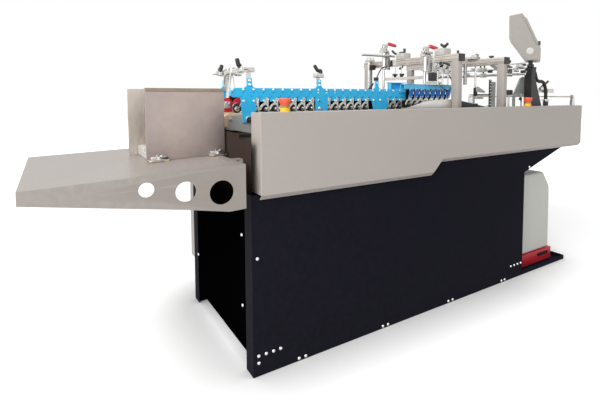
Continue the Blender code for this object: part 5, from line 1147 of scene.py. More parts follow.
# emergency stops: legend plate, collar, and the green ring that rides on the head
stopLook = {
    "places": (("left", 0.12), ("right", 1.39)), "y": 0.015,
    # radius, and height over the cover's top
    "collar": [(0.0138, 0), (0.0168, 0), (0.0168, 0.001), (0.0155, 0.0018), (0.0153, 0.0116), (0.0147, 0.0123),
               (0.0138, 0.0123), (0.0138, 0)],
    # radius, and height over the floor; the widest ring of the head is near its top
    "head": [(0.008, 0.8062), (0.008, 0.8176), (0.0144, 0.8176), (0.015, 0.8184), (0.0152, 0.824), (0.0176,
              0.8292),
             (0.0191, 0.833), (0.0194, 0.8375), (0.019, 0.8403), (0.0178, 0.8415), (0.015, 0.8419), (0.006,
              0.842)],
    "ring": [(0.0082, 0.8066), (0.0128, 0.8066), (0.013, 0.8175), (0.0082, 0.8175), (0.0082, 0.8066)],
}


def makeStops():
    # collar, head and ring are profiles turned about the button's upright axis
    look = stopLook
    for side, x in look["places"]:
        collar, ring, head = Shape(), Shape(), Shape()
        lathe(collar, look["collar"], (x, look["y"], machine["tableTop"] + 0.0003), up, 40, capped=False)
        piece = finishPiece(side + "_stop_plate", collar, "legendYellow")
        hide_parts(side + "_stop_collar")
        lathe(head, look["head"], (x, look["y"], 0), up, 40)
        piece = finishPiece(side + "_stop_cap", head, "stopRed", body=side + "_stop")
        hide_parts(side + "_stop_head")
        lathe(ring, look["ring"], (x, look["y"], 0), up, 32, capped=False)
        finishPiece(side + "_stop_ring", ring, "greenRing", body=side + "_stop")


makeKicker()
makeCrossBar()
makeNoseBolts()
makeBelts()
makeStops()
print("kicker, cross bar, belts and stops made")


# gantries: square posts and a slotted beam each, with end caps, knobs, saddles and rods
gantryLook = {
    "left": (0.951, 1.261), "postSide": 0.026, "beamSide": 0.04, "beam": (0.996, 1.028),
    "posts": ((0.057, 0.7968, 0.094), (0.67, 0.8003, 0.707)),   # near y, foot and far y
    "slots": (1.005, 1.0185),
    "saddles": ((0.137, 0.192), (0.392, 0.447)),
    "cables": 4,
    "pieces": {"caps": ("beam_caps", "blackPlastic"), "knobs": ("gantry_knobs", "blackPlastic"),
               "pale": ("saddle_blocks", "palePaint"), "cheek": ("saddle_cheeks", "paleCast"),
               "brown": ("saddle_shade_strips_and_block", "brownDark")},
    # far end: clamp plate with two knobs, and a dark block beside it
    "boxes": [("pale", (0.93, 0.64, 1.0282), (0.97, 0.676, 1.04), 0.0018, 2),
              ("pale", (0.933, 0.646, 1.04), (0.949, 0.66, 1.052), 0.002, 2),
              ("brown", (0.9285, 0.61, 0.985), (0.9508, 0.636, 1.01), 0.001)],
    "bars": [("caps", (0.956, 0.064, 1.027), (0.956, 0.064, 1.04), 0.005, 14),
             # cross handle over the far saddle, and the stem of the near one's wing knob
             ("knobs", (0.965, 0.404, 1.061), (0.965, 0.44, 1.06), 0.0052, 12),
             ("knobs", (0.965, 0.404, 1.057), (0.965, 0.404, 1.079), 0.0062, 14),
             ("knobs", (0.965, 0.422, 1.056), (0.965, 0.422, 1.06), 0.005, 12),
             ("knobs", (0.965, 0.148, 1.057), (0.965, 0.148, 1.066), 0.0055, 12),
             # the far clamp's studs and its long rod down to the far carrier
             ("cheek", (0.944, 0.668, 1.0395), (0.944, 0.668, 1.056), 0.007, 14),
             ("cheek", (0.962, 0.648, 1.0395), (0.962, 0.648, 1.053), 0.006, 14),
             ("cheek", (0.94, 0.652, 0.8), (0.94, 0.652, 1.05), 0.0085, 16),
             ("cheek", (0.9282, 0.428, 0.945), (0.9282, 0.428, 0.9958), 0.002, 8),
             ("cheek", (0.9282, 0.384, 0.945), (0.9282, 0.384, 0.9958), 0.002, 8)],
    "knobs": [("knobs", (1.301, 0.064, 1.009), (1, 0, 0), 0.0085, 0.014)],
    # a lever on the far saddle, and two that hang under the beam
    "tubes": [("knobs", [(0.958, 0.455, 1.056), (0.956, 0.47, 1.063), (0.954, 0.482, 1.074)], 4, 0.0056, 12),
              ("knobs", [(0.946, 0.402, 0.996), (0.944, 0.396, 0.988), (0.942, 0.412, 0.98)], 4, 0.0052, 10),
              ("knobs", [(0.946, 0.145, 0.996), (0.944, 0.15, 0.988), (0.942, 0.138, 0.979)], 4, 0.0052, 10)],
    "wideKnob": [(0.006, 0), (0.0068, 0.006), (0.012, 0.011), (0.0125, 0.014), (0.0105, 0.016), (0.003,
                  0.016)],
    "wideKnobs": ((0.9282, 0.43, 0.939), (0.9282, 0.38, 0.939)),
}


def makeGantries():
    # posts, beams and the dark lines of their slots are rounded boxes, each from two corners
    look = gantryLook
    posts, beams, slots = Shape(), Shape(), Shape()
    low, high = look["beam"]
    for left in look["left"]:
        for y0, foot, y1 in look["posts"]:
            roundBox(posts, (left, y0, foot), (left + look["postSide"], y1, low + 0.002), 0.0016)
        roundBox(beams, (left, 0.0572, low), (left + look["beamSide"], 0.7068, high), 0.0016)
        for z in look["slots"]:
            roundBox(slots, (left - 0.0004, 0.06, z), (left + 0.001, 0.704, z + 0.0011), 0.0002, 1)
    piece = finishPiece("gantry_posts", posts, "greyCover")
    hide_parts("delivery_gantry")
    piece = finishPiece("gantry_beams", beams, "beamSheet")
    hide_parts("feeder_gantry")
    finishPiece("beam_slots", slots, "darkWorks")


def makeGantryParts():
    # rounded boxes and turned bars at the listed places; levers are circles carried along smooth curves
    look = gantryLook
    shapes = newShapes(look)
    low, high = look["beam"]
    for left in look["left"]:
        for y0, y1 in ((0.054, 0.0572), (0.7066, 0.7096)):
            roundBox(shapes["caps"], (left, y0, low), (left + look["beamSide"], y1, high), 0.0025, 3)
    # saddle clamps: a block over the beam, a cheek down its side with two screws, and beyond the cheek a brown strip
    # of painted shade
    for y0, y1 in look["saddles"]:
        roundBox(shapes["pale"], (0.948, y0, 1.027), (0.9955, y1, 1.057), 0.0022, 3)
        roundBox(shapes["cheek"], (0.9465, y1 - 0.003, 0.9935), (0.951, y1 + 0.024, 1.029), 0.001)
        roundBox(shapes["brown"], (0.9462, y1 + 0.024, 0.995), (0.95, y1 + 0.04, 1.0255), 0.0006, 1)
        for z in (1.02, 1.001):
            capScrew(shapes["cheek"], (0.9465, y1 + 0.0105, z), (-1, 0, 0), 0.0036)
        for y in (y0 + 0.014, y1 - 0.014):
            capScrew(shapes["cheek"], (0.948, y, 1.044), (-1, 0, 0), 0.004)
    # the near saddle's wing knob: two short curved wings that thin towards their ends
    for turn in (-1, 1):
        wing = [(0.965, 0.148, 1.064), (0.965, 0.148 + turn * 0.009, 1.069), (0.965, 0.148 + turn * 0.02, 1.0765)]
        tube(shapes["knobs"], smoothPath(wing, 4), [0.0066] * 4 + [0.0058] * 4 + [0.0048], 12)
    # dark cable bundle beside the far post's foot
    for k in range(look["cables"]):
        path = [(0.935, 0.66 - 0.012 * k, 0.7975), (0.928, 0.65 - 0.012 * k, 0.87), (0.945, 0.636,
                 0.905 - 0.003 * k),
                (0.9508, 0.628, 0.915)]
        tube(shapes["knobs"], smoothPath(path, 5), 0.0034, 8)
    for spot in look["wideKnobs"]:
        lathe(shapes["knobs"], look["wideKnob"], spot, up, 24)
    addRows(shapes, look)
    finishRows(shapes, look)


# rack heads: toggle clamps, perforated racks, tubes and rods
headLook = {
    "x": 0.9282, "gripLength": 0.056, "gripDrop": 0.0085, "gripRadius": 0.009,
    "gripShape": ([0, 0.05, 0.2, 0.75, 0.93, 1.0], [0.6, 0.92, 1.0, 0.95, 0.82, 0.45]),
    "holePitch": 0.0105, "holeRadius": 0.0036,
    "sides": {
        "near": {"y": 0.226, "top": 1.04, "low": 0.8935, "tubeLow": 0.956, "rack": (0.956, 1.018),
                 "rod": ((0.886, 0.203, 1.042), (0.947, 0.203, 1.0402))},
        "far": {"y": 0.513, "top": 1.079, "low": 0.85, "tubeLow": 0.98, "rack": (0.979, 1.038),
                "rod": ((0.764, 0.485, 1.046), (0.974, 0.485, 1.0471))},
    },
}


def makeHeads():
    # the grip is a circle carried along a line, its radius read from a short table
    look = headLook
    x = look["x"]
    for side, head in look["sides"].items():
        steel, pale, dark = Shape(), Shape(), Shape()
        y, top, low, tubeLow = head["y"], head["top"], head["low"], head["tubeLow"]
        pivot = top + 0.018
        # upright tube beside the rack, the slim rod below it, a stack of clamp blocks on top
        roundBox(pale, (0.933, y - 0.015, 0.9862), (0.9506, y + 0.015, top - 0.012), 0.002)
        bar(steel, (x - 0.004, y - 0.004, tubeLow), (x - 0.004, y - 0.004, top - 0.008), 0.01, 22)
        bar(steel, (x - 0.004, y, low), (x - 0.004, y, tubeLow + 0.002), 0.0068, 18)
        roundBox(steel, (0.908, y - 0.015, top - 0.016), (0.948, y + 0.015, top - 0.002), 0.0016)
        roundBox(steel, (0.91, y - 0.011, top - 0.004), (0.94, y + 0.011, top + 0.01), 0.002)
        outline = np.array([(x - 0.015, top - 0.002), (x + 0.013, top - 0.002), (x + 0.008, pivot + 0.01),
                            (x - 0.009, pivot + 0.01)])
        for off in (-0.0088, 0.0052):
            plate(steel, roundCorners(outline, 0.22), "Y", y + off, y + off + 0.0036, 0.0005)
        bar(steel, (x, y - 0.0105, pivot), (x, y + 0.0105, pivot), 0.0036, 12)
        bar(steel, (x - 0.011, y - 0.0095, top + 0.006), (x - 0.011, y + 0.0095, top + 0.006), 0.003, 10)
        # perforated rack: a strip with a row of round holes, shown by dark floors
        rackLow, rackTop = head["rack"]
        roundBox(pale, (0.93, y - 0.0205, rackLow), (0.9506, y - 0.0172, rackTop), 0.0008)
        for z in np.arange(rackLow + 0.007, rackTop - 0.004, look["holePitch"]):
            dimple(dark, (0.943, y - 0.0206, z), look["holeRadius"])
        bar(steel, *head["rod"], 0.006, 14)
        piece = finishPiece(side + "_head_steel", steel, "brightSteel")
        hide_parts(side + "_rack_head")
        finishPiece(side + "_head_block", pale, "greyCast")
        finishPiece(side + "_rack_holes", dark, "innerDark")
        # handle: a bright root and stem, then the fat red grip, which slopes down to its end
        grip, stem = Shape(), Shape()
        roundBox(stem, (x - 0.0085, y - 0.0046, pivot - 0.008), (x + 0.02, y + 0.0046, pivot + 0.012), 0.0022)
        bar(stem, (x + 0.008, y, pivot + 0.005), (x + 0.03, y, pivot + 0.014), 0.0042, 12)
        share = np.linspace(0, 1, 14)
        path = np.array([x + 0.022, y, pivot + 0.015]) + share[:, None] * [look["gripLength"], 0, -look["gripDrop"]]
        tube(grip, path, look["gripRadius"] * np.interp(share, *look["gripShape"]), 18)
        finishPiece(side + "_toggle_root", stem, "brightSteel", body=side + "_handle")
        piece = finishPiece(side + "_toggle_grip", grip, "redGrip", body=side + "_handle")
        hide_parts(side + "_toggle_handle")


makeGantries()
makeGantryParts()
makeHeads()
print("gantries and rack heads made")


# middle works: the small clamps, bars and cable in front of the near rack head
clusterLook = {
    "clamps": ((0.95, 0.178, 0.985), (0.972, 0.182, 0.968), (0.99, 0.176, 0.982), (1.012, 0.186, 0.962),
               (1.03, 0.18, 0.975), (1.044, 0.188, 0.95)),
    "pieces": {"steel": ("cluster_steel", "brightSteel"), "black": ("cluster_black", "blackPlastic"),
               "pale": ("cluster_blocks", "paleCast")},
    "boxes": [("black", (0.93, 0.186, 0.915), (0.962, 0.21, 0.953), 0.0015),
              ("pale", (0.914, 0.19, 0.9035), (1.003, 0.212, 0.913), 0.0012),
              ("black", (1.0, 0.168, 0.988), (1.024, 0.18, 0.997), 0.003, 2),
              ("black", (0.661, 0.2468, 0.9125), (0.677, 0.262, 0.927), 0.0015)],   # cable's socket
    "bars": [("steel", (0.958, 0.2, 0.936), (1.07, 0.2, 0.936), 0.0042, 12),
             ("steel", (0.968, 0.19, 0.9), (0.968, 0.19, 0.9955), 0.004, 12),
             ("steel", (1.002, 0.19, 0.9), (1.002, 0.19, 0.9955), 0.004, 12),
             ("steel", (1.036, 0.19, 0.9), (1.036, 0.19, 0.9955), 0.004, 12),
             ("steel", (0.94, 0.182, 0.975), (1.058, 0.182, 0.965), 0.0036, 10)],
    # a loop of cable at the clamps, and one from the beam's far side to the third hump
    "tubes": [("black", [(1.044, 0.188, 0.945), (1.052, 0.18, 0.915), (1.046, 0.176, 0.885), (1.022, 0.178, 0.874),
                         (1.0, 0.186, 0.884), (0.992, 0.2, 0.905)], 6, 0.0024, 8),
              ("black", [(0.905, 0.5, 0.99), (0.8, 0.33, 0.985), (0.7, 0.256, 0.965), (0.676, 0.252, 0.935),
                         (0.669, 0.252, 0.922)], 6, 0.0026, 8)],
    "screws": [("steel", (x, 0.226, 0.8932), up, 0.005, 0.006) for x in (0.93, 0.962, 0.994, 1.04, 1.072)],
}


def makeCluster():
    # a clamp is a rounded block with a turned screw in front and a short stud on top
    look = clusterLook
    shapes = newShapes(look)
    for x, y, z in look["clamps"]:
        roundBox(shapes["steel"], (x - 0.01, y - 0.01, z - 0.0085), (x + 0.01, y + 0.01, z + 0.0085), 0.0022, 2)
        capScrew(shapes["steel"], (x, y - 0.01, z), front, 0.004)
        bar(shapes["black"], (x + 0.004, y, z + 0.008), (x + 0.004, y, z + 0.017), 0.0035, 10)
    addRows(shapes, look)
    finishRows(shapes, look)


# feeder side: rods and clamps on the second gantry, shaft clamps, gate, guides
feederLook = {
    # clamps along the cross shafts: y, height and half width
    "shaftClamps": ((0.318, 0.984, 0.012), (0.294, 0.984, 0.009), (0.3, 0.955, 0.012), (0.56, 0.984, 0.011),
                    (0.2, 0.955, 0.01)),
    # small blocks about the shafts: middle, half size and shape
    "blocks": ((1.424, 0.085, 0.994, 0.011, "pale"), (1.446, 0.09, 0.986, 0.009, "steel"),
               (1.436, 0.07, 0.966, 0.01, "black"), (1.424, 0.105, 0.972, 0.009, "steel"),
               (1.452, 0.078, 1.0, 0.007, "black"), (1.42, 0.25, 0.974, 0.009, "black"),
               (1.424, 0.36, 0.99, 0.01, "steel"), (1.422, 0.4, 0.966, 0.01, "pale")),
    "hangerScrews": ((0.149, 0.619), (1.014, 1.0)),
    "lever": ([(1.605, 0.088, 0.879), (1.615, 0.086, 0.896), (1.64, 0.082, 0.908),
              (1.665, 0.08, 0.924)],
              5, [0.004] * 8 + [0.0058] * 8, 12),
    # gate column: the strip, its first tooth, the end and the pitch of its teeth
    "gate": ((1.352, 0.196, 0.7873), (1.361, 0.206, 0.93)), "teeth": (0.802, 0.926, 0.015),
    "pieces": {"steel": ("feeder_steel", "brightSteel"), "black": ("feeder_black", "blackPlastic"),
               "pale": ("feeder_blocks", "paleCast"), "green": ("feeder_guides", "greenGrey")},
    "boxes": [
        # silver strip with dark edges that hangs before the beam, and its clamp
        ("steel", (1.232, 0.256, 0.904), (1.246, 0.262, 1.008), 0.0008, 1),
        ("black", (1.23, 0.257, 0.904), (1.2322, 0.264, 1.008), 0.0003, 1),
        ("black", (1.2462, 0.257, 0.904), (1.2484, 0.264, 1.008), 0.0003, 1),
        ("pale", (1.234, 0.23, 1.0285), (1.306, 0.27, 1.04), 0.0015),
        ("pale", (1.242, 0.2, 1.0285), (1.26, 0.228, 1.048), 0.0015),
        ("steel", (1.3, 0.243, 1.008), (1.33, 0.263, 1.044), 0.0012),
        # bracket and block under the dark rod
        ("pale", (1.308, 0.242, 0.833), (1.36, 0.256, 0.848), 0.001),
        ("black", (1.302, 0.245, 0.848), (1.316, 0.26, 0.89), 0.001),
        # gate's pale plate and its bright edge
        ("green", (1.3625, 0.199, 0.788), (1.399, 0.202, 0.919), 0.0008, 1),
        ("steel", (1.3606, 0.1985, 0.804), (1.363, 0.2015, 0.92), 0.0004, 1),
        ("black", (1.376, 0.115, 0.853), (1.42, 0.129, 0.878), 0.0015),
        # stack guide's stiffening edge, then the bar between the column and the hose gland
        ("green", (1.6, 0.196, 0.938), (1.743, 0.1985, 0.944), 0.0006, 1),
        ("pale", (1.57, 0.088, 0.866), (1.724, 0.094, 0.879), 0.0012),
        ("pale", (1.67, 0.082, 0.864), (1.726, 0.09, 0.886), 0.0016),
    ],
    "bars": [
        ("steel", (1.276, 0.238, 1.039), (1.276, 0.238, 1.052), 0.0075, 16),
        ("steel", (1.307, 0.253, 0.893), (1.307, 0.253, 1.064), 0.0045, 14),
        ("black", (1.306, 0.252, 0.854), (1.416, 0.252, 0.854), 0.0042, 10),
        ("pale", (1.5, 0.1225, 0.7968), (1.5, 0.1225, 0.9), 0.004, 12),
        ("steel", (1.38, 0.123, 0.848), (1.5, 0.123, 0.848), 0.0032, 10),
        ("steel", (1.398, 0.123, 0.7968), (1.398, 0.123, 0.854), 0.0045, 12),
        ("steel", (1.576, 0.07, 0.885), (1.599, 0.07, 0.885), 0.008, 16),
        ("steel", (1.43, 0.06, 1.006), (1.43, 0.2, 1.006), 0.0035, 10),
    ],
    "knobs": [("black", (1.296, 0.238, 1.039), up, 0.009, 0.017), ("black", (1.272, 0.134, 1.027), up,
               0.011, 0.012),
              ("black", (1.479, 0.12, 0.834), front, 0.008, 0.012)],
    "screws": [("steel", (1.322, 0.244, 0.884), front, 0.0032), ("steel", (1.35, 0.244, 0.872), front, 0.0032)]
    + [("steel", (x, 0.187, 0.7915), up, 0.004) for x in (1.56, 1.64, 1.72)],
    # wedge bracket on the rod, and the guide plate before the column
    "plates": [("pale", [(1.306, 0.87), (1.376, 0.864), (1.376, 0.872), (1.32, 0.896), (1.306, 0.896)],
                0.244, 0.256, 0.0008, 0),
               ("green", [(1.433, 0.862), (1.516, 0.86), (1.516, 0.944), (1.496, 0.946)],
                0.118, 0.1205, 0.0005, 0.06)],
}


def makeFeederParts():
    # clamps and teeth repeat one rounded block; the lever is a circle carried along a curve, fatter at its end
    look = feederLook
    shapes = newShapes(look)
    steel, black, pale = shapes["steel"], shapes["black"], shapes["pale"]
    for y, z, size in look["shaftClamps"]:
        roundBox(pale, (1.418, y - size, z - 0.01), (1.442, y + size, z + 0.012), 0.0018)
        bar(black, (1.43, y, z + 0.01), (1.43, y, z + 0.024), 0.0042, 10)
    for y in look["hangerScrews"][0]:
        for z in look["hangerScrews"][1]:
            capScrew(steel, (1.3014, y, z), (1, 0, 0), 0.0036)
    strip = roundBox(Shape(), *look["gate"], 0.0008, 1)
    piece = finishPiece("gate_strip", strip, "blackPlastic")
    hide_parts("gate_column")
    for number, z in enumerate(np.arange(*look["teeth"])):
        roundBox(pale, (1.35, 0.193, z), (1.36, 0.1975, z + 0.0065), 0.001, 1)
        if number % 2:
            capScrew(steel, (1.357, 0.193, z + 0.01), front, 0.003)
    points, steps, radius, sides = look["lever"]
    finishPiece("feeder_lever", tube(Shape(), smoothPath(points, steps), radius, sides), "leverRed")
    for x, y, z, size, key in look["blocks"]:
        wide, tall = size * 1.2, size * 0.7
        roundBox(shapes[key], (x - size, y - wide, z - tall), (x + size, y + wide, z + tall), 0.0018)
        capScrew(steel, (x, y - wide, z), front, 0.0034)
    addRows(shapes, look)
    finishRows(shapes, look)


# control box on its column: its own frame has x across its side and y along its width
boxLook = {
    "turn": -57.6, "place": (1.5, 0.076, 1.052),
    "disc": [(0.0165, 0), (0.0165, 0.0012), (0.015, 0.0022), (0.006, 0.0022), (0.005, 0.0012)],
    "grooves": (((-0.03, 0.156), (0.023, 0.038)), ((-0.044, 0.17), (-0.033, 0.164))),
    # the slanted face's upper and lower end, half the screen's width, and its margin at both ends
    "face": ((-0.021, 0.163), (0.038, 0.031)), "screenHalf": 0.084, "screenMargin": 0.014,
    "neckRing": [(0.016, 0.9905), (0.016, 1.001), (0.0145, 1.0035), (0.011, 1.004)],
}
boxTurn = math.radians(boxLook["turn"])
boxSpin = np.array([[math.cos(boxTurn), math.sin(boxTurn), 0], [-math.sin(boxTurn), math.cos(boxTurn), 0], [0, 0, 1]])


def boxWay(x, y, z):
    # a direction of the box's frame, turned about the upright axis into machine coordinates
    return np.array([x, y, z]) @ boxSpin


def boxPoint(x, y, z):
    # the same turn for a place, moved to where the box stands
    return boxWay(x, y, z) + boxLook["place"]


def boxBlock(shape, low, high, radius):
    # a rounded block laid in the box's frame, then turned with it
    part = roundBox(Shape(), low, high, radius)
    return shape.add(np.concatenate(part.points) @ boxSpin + boxLook["place"], part.faces)


def makeBoxParts():
    # everything is worked out in the box's own frame, then turned and moved with it
    look = boxLook
    disc, black, glass, grooves = Shape(), Shape(), Shape(), Shape()
    for side in (-1, 1):
        lathe(disc, look["disc"], boxPoint(-0.004, side * 0.1, 0.008), boxWay(0, side, 0), 32)
        low, high = sorted((side * 0.1004, side * 0.09))
        boxBlock(black, (0.029, low, 0.033), (0.0405, high, 0.054), 0.0015)
        for a, b in look["grooves"]:
            tube(grooves, [boxPoint(a[0], side * 0.1001, a[1]), boxPoint(b[0], side * 0.1001, b[1])], 0.0009, 6)
    finishPiece("box_discs", disc, "whitePlastic", body="screen")
    finishPiece("box_grooves", grooves, "darkWorks", body="screen")
    # screen on the slanted face: dark glass in a thin black frame, each four corners lifted off the face
    face = np.array(look["face"])
    way = (face[1] - face[0]) / np.linalg.norm(face[1] - face[0])
    out = np.array([-way[1], way[0]])
    first, last = face[0] + way * look["screenMargin"] + out * 0.0001, face[1] - way * look["screenMargin"] + out * 0.0001
    for shape, inset, rise in ((black, 0.0, 0.0006), (glass, 0.006, 0.0009)):
        p, q = first + way * inset, last - way * inset
        half = look["screenHalf"] - inset
        corners = np.array([boxPoint(end[0], y, end[1]) for end, y in ((p, -half), (q, -half), (q, half), (p, half))])
        shape.grid(np.array([corners, corners + boxWay(out[0], 0, out[1]) * rise]), True, True)
    finishPiece("box_black", black, "blackPlastic", body="screen")
    finishPiece("box_glass", glass, "screenGlass", body="screen")
    neck = lathe(Shape(), look["neckRing"], (*look["place"][:2], 0), up, 32)
    finishPiece("neck_ring", neck, "blackPlastic", body="neck")


# hose from the column over and down: its route in x and height, beside its gland and sleeve
hoseLook = {
    "y": 0.078, "diameter": 0.017,
    "route": [(1.5261, 0.974), (1.534, 0.972), (1.544, 0.961), (1.551, 0.944), (1.56, 0.93), (1.58, 0.922),
              (1.602, 0.922), (1.622, 0.914), (1.636, 0.894), (1.643, 0.866), (1.645, 0.8323)],
    "gland": [(0.01, 0.832), (0.013, 0.8318), (0.021, 0.83), (0.0215, 0.8285), (0.021, 0.8265),
              (0.015, 0.825), (0.015, 0.8215)],
    "sleeve": [(0.0122, 0.8216), (0.0128, 0.819), (0.0128, 0.801), (0.0122, 0.797)],
}


def makeHose():
    # a circle carried along a Catmull-Rom line through the route's points
    look = hoseLook
    line = smoothPath(look["route"], 8)
    path = np.stack([line[:, 0], np.full(len(line), look["y"]), line[:, 1]], -1)
    hose = tube(Shape(), path, look["diameter"] / 2, 20)
    piece = finishPiece("control_hose", hose, "blackRubber")
    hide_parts("hose")
    foot = (look["route"][-1][0], look["y"], 0)
    piece = finishPiece("hose_ring", lathe(Shape(), look["gland"], foot, up, 28), "brightSteel")
    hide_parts("hose_gland")
    finishPiece("hose_sleeve", lathe(Shape(), look["sleeve"], foot, up, 24), "blackPlastic")


makeCluster()
makeFeederParts()
makeBoxParts()
makeHose()
print("middle works, feeder parts, box and hose made")


# tray guides: clips, wing screws and spacers at their feet, and the stepped block between them
guideLook = {
    "faces": ((0.2, -1), (0.411, 1)), "clips": ((-0.243, -0.186), (-0.064, -0.009)),
    "screw": [(0.0072, 0), (0.0072, 0.002), (0.005, 0.0034), (0.005, 0.0074), (0.003, 0.009)],
    # x and height of the wing's outline about its screw
    "wing": [(0, 0.003), (0.01, 0.01), (0.0085, 0.015), (0.003, 0.0095)],
    "top": 0.8729, "fold": 0.0107, "farEnds": (-0.266, -0.0085),
    "steps": 3, "stepHeight": 0.011, "stepBack": 0.042,
}


def trayHeight(x):
    # the tray's top rises evenly from its left end to its right end
    return 0.6415 + (x + 0.549) / 0.524 * 0.0155


def makeGuideParts():
    # each foot is a long flat clip with a pale front edge, a spacer, a wing screw and a black end
    look = guideLook
    steel, brass, black, fold, sheet, steps = (Shape() for k in range(6))
    top = look["top"]
    for face, side in look["faces"]:
        y0, y1 = sorted((face + side * 0.0005, face + side * 0.02))
        stop = sorted((face, face + side * 0.0032))
        y = face + side * 0.011
        for x0, x1 in look["clips"]:
            z = trayHeight(x0) + 0.0008
            roundBox(brass, (x0, y0, z), (x1, y1, z + 0.0062), 0.0008)
            roundBox(steel, (x0 - 0.003, y0, z + 0.0062), (x1, y1, z + 0.0082), 0.0008)
            x, head = x0 + 0.03, z + 0.008
            lathe(steel, look["screw"], (x, y, head), up, 18)
            for turn in (-1, 1):
                wing = roundCorners(np.array(look["wing"]) * (turn, 1) + (x, head), 0.25)
                plate(steel, wing if turn > 0 else wing[::-1], "Y", y - 0.0014, y + 0.0014, 0.0005)
            capScrew(steel, (x, y0 if side < 0 else y1, z + 0.003), (0, side, 0), 0.0026)
            roundBox(black, (x1 - 0.014, y0, z + 0.008), (x1 - 0.002, y1, z + 0.013), 0.002, 2)
            roundBox(steel, (x0 + 0.008, stop[0], z + 0.006), (x1 - 0.006, stop[1], z + 0.015), 0.0008)
    roundBox(fold, (-0.2465, 0.1982, 0.8625), (-0.0085, 0.1999, 0.8732), 0.0007, 1)
    finishPiece("guide_fold", fold, "foldBrown")
    # the far sheet stands on the sloped tray, with its own fold on the outside of its top
    left, right = look["farEnds"]
    outline = [(left, trayHeight(left) + 0.0008), (right, trayHeight(right) + 0.0008), (right, top), (left, top)]
    plate(sheet, outline, "Y", 0.411, 0.4126, 0.0004)
    roundBox(sheet, (left, 0.4124, top - look["fold"]), (right, 0.4141, top), 0.0006, 1)
    # stepped plates between the guides, against which a stack rests
    for k in range(look["steps"]):
        z = trayHeight(-0.236) + 0.0012 + look["stepHeight"] * k
        roundBox(steps, (-0.238, 0.21 + look["stepBack"] * k, z), (-0.202, 0.404, z + 0.0104), 0.001)
    finishPiece("stack_steps", steps, "palePaint")
    piece = finishPiece("far_guide_sheet", sheet, "farSheet")
    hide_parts("far_tray_guide")
    finishPiece("guide_screws", steel, "brightSteel")
    finishPiece("guide_spacers", brass, "brassSpacer")
    finishPiece("guide_ends", black, "blackPlastic")


# screws in the panels, compressor seam and the slot in its band
panelLook = {
    "dome": [(0.0056, 0), (0.0054, 0.0012), (0.0042, 0.0026), (0.0022, 0.0034), (0.0008, 0.0036)],
    # x and height of the screws in the two long panels: along the bottom, in rows of four, and single ones
    "bottom": [(x, 0.009) for x in (0.156, 0.18, 0.503, 0.527, 0.85, 0.875, 1.2, 1.224)],
    "rows": [(x, 0.061) for x in np.linspace(1.268, 1.344, 4)] + [(x, 0.064) for x in np.linspace(0.018, 0.091, 4)],
    "single": [(0.018, 0.042), (0.017, 0.365), (1.394, 0.514)],
    # y and height of those in the end panel
    "end": ((0.079, 0.195), (0.564, 0.206), (0.079, 0.42), (0.564, 0.43)),
    "seam": ((1.3905, 0.0492, 0.065), (1.3917, 0.0502, 0.46)),
    "slot": ((1.555, 0.0412, 0.0335), (1.644, 0.047, 0.0485)),
}


def makePanelParts():
    # a screw is a low dome turned about its axis; seam and slot are thin rounded boxes
    look = panelLook
    screws, dark = Shape(), Shape()
    for x, z in look["bottom"] + look["rows"] + look["single"]:
        for y, way in ((0.0, front), (0.625, rear)):
            lathe(screws, look["dome"], (x, y, z), way, 14)
    for y, z in look["end"]:
        lathe(screws, look["dome"], (0.0, y, z), (-1, 0, 0), 14)
    finishPiece("panel_screws", screws, "zincScrew")
    roundBox(dark, *look["seam"], 0.0002, 1)
    roundBox(dark, *look["slot"], 0.001, 1)
    finishPiece("compressor_seams", dark, "innerDark")


makeGuideParts()
makePanelParts()
print("guides, screws and seams made")


# floor and light
stageLook = {
    "floorSize": 30.0,
    "floorColour": (0.78, 0.78, 0.78, 1),
    "seenGlow": 0.46,
    "shadeReach": 0.22,       # how far from the base the glow starts to fade, for the soft contact shadow
    "skyLevel": 0.43,
    "keySize": 3.2,
    "keyPower": 175,
    "fillPower": 30,
    "frontPower": 24,
}


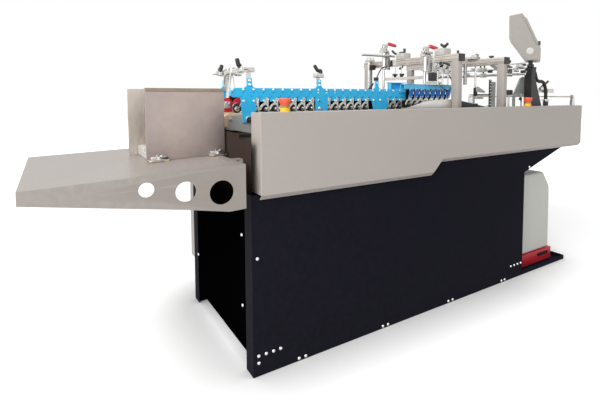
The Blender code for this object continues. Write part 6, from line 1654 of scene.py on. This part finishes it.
def makeStage():
    half = stageLook["floorSize"] / 2
    mesh = bpy.data.meshes.new("studio_floor")
    corners = np.array([(-half, -half, 0), (half, -half, 0), (half, half, 0), (-half, half, 0)], float)
    corners[:, 2] = -0.0008
    mesh.from_pydata(corners.tolist(), [], [(0, 1, 2, 3)])
    floor = bpy.data.objects.new("studio_floor", mesh)
    bpy.context.scene.collection.objects.link(floor)
    material = bpy.data.materials.new("studioFloor")
    material.use_nodes = True
    tree = material.node_tree
    tree.nodes.clear()
    out = tree.nodes.new("ShaderNodeOutputMaterial")
    matt = addNode(tree, "ShaderNodeBsdfDiffuse", Color=stageLook["floorColour"])
    glow = addNode(tree, "ShaderNodeEmission")
    rays = tree.nodes.new("ShaderNodeLightPath")
    seen = math2(tree, "ADD", rays.outputs["Is Camera Ray"], rays.outputs["Is Glossy Ray"])
    seen = math2(tree, "ADD", seen, rays.outputs["Is Transmission Ray"])
    nearby = addNode(tree, "ShaderNodeAmbientOcclusion", samples=8)
    nearby.inputs["Distance"].default_value = stageLook["shadeReach"]
    fade = math2(tree, "POWER", nearby.outputs["AO"], 2.5)
    place = addNode(tree, "ShaderNodeTexCoord")
    away = addNode(tree, "ShaderNodeVectorMath", operation="LENGTH")
    tree.links.new(place.outputs["Object"], away.inputs[0])
    far = addNode(tree, "ShaderNodeMapRange", interpolation_type="SMOOTHSTEP")
    for label, value in (("From Min", 1.6), ("From Max", 4.5), ("To Max", 0.7)):
        far.inputs[label].default_value = value
    tree.links.new(away.outputs["Value"], far.inputs["Value"])
    level = math2(tree, "ADD", math2(tree, "MULTIPLY", fade, stageLook["seenGlow"]), far.outputs[0])
    tree.links.new(math2(tree, "MULTIPLY", seen, level), glow.inputs["Strength"])
    both = tree.nodes.new("ShaderNodeAddShader")
    tree.links.new(matt.outputs[0], both.inputs[0])
    tree.links.new(glow.outputs[0], both.inputs[1])
    tree.links.new(both.outputs[0], out.inputs["Surface"])
    mesh.materials.append(material)


def makeWorld():
    world = bpy.data.worlds.new("studioSky")
    bpy.context.scene.world = world
    world.use_nodes = True
    tree = world.node_tree
    tree.nodes.clear()
    out = tree.nodes.new("ShaderNodeOutputWorld")
    back = addNode(tree, "ShaderNodeBackground", Color=(1, 1, 1, 1))
    rays = tree.nodes.new("ShaderNodeLightPath")
    seen = math2(tree, "ADD", rays.outputs["Is Camera Ray"], rays.outputs["Is Glossy Ray"])
    seen = math2(tree, "ADD", seen, rays.outputs["Is Transmission Ray"])
    extra = math2(tree, "MULTIPLY", seen, 1.0 - stageLook["skyLevel"])
    tree.links.new(math2(tree, "ADD", extra, stageLook["skyLevel"]), back.inputs["Strength"])
    tree.links.new(back.outputs[0], out.inputs["Surface"])


def makeLamp(name, spot, target, size, power):
    data = bpy.data.lights.new(name, "AREA")
    data.size = size
    data.energy = power
    lamp = bpy.data.objects.new(name, data)
    bpy.context.scene.collection.objects.link(lamp)
    lamp.location = at(*spot)
    lamp.rotation_mode = "QUATERNION"
    lamp.rotation_quaternion = (Vector(at(*target)) - lamp.location).to_track_quat("-Z", "Y")


makeStage()
makeWorld()
makeLamp("key_light", (-3.3, -1.5, 3.0), (0.3, 0.2, 0.6), stageLook["keySize"], stageLook["keyPower"])
makeLamp("top_light", (0.8, 0.6, 3.6), (0.6, 0.3, 0.6), stageLook["keySize"], stageLook["fillPower"])
makeLamp("front_light", (-1.9, -3.4, 1.5), (0.3, 0.0, 0.6), 2.0, stageLook["frontPower"])
print("stage lit")
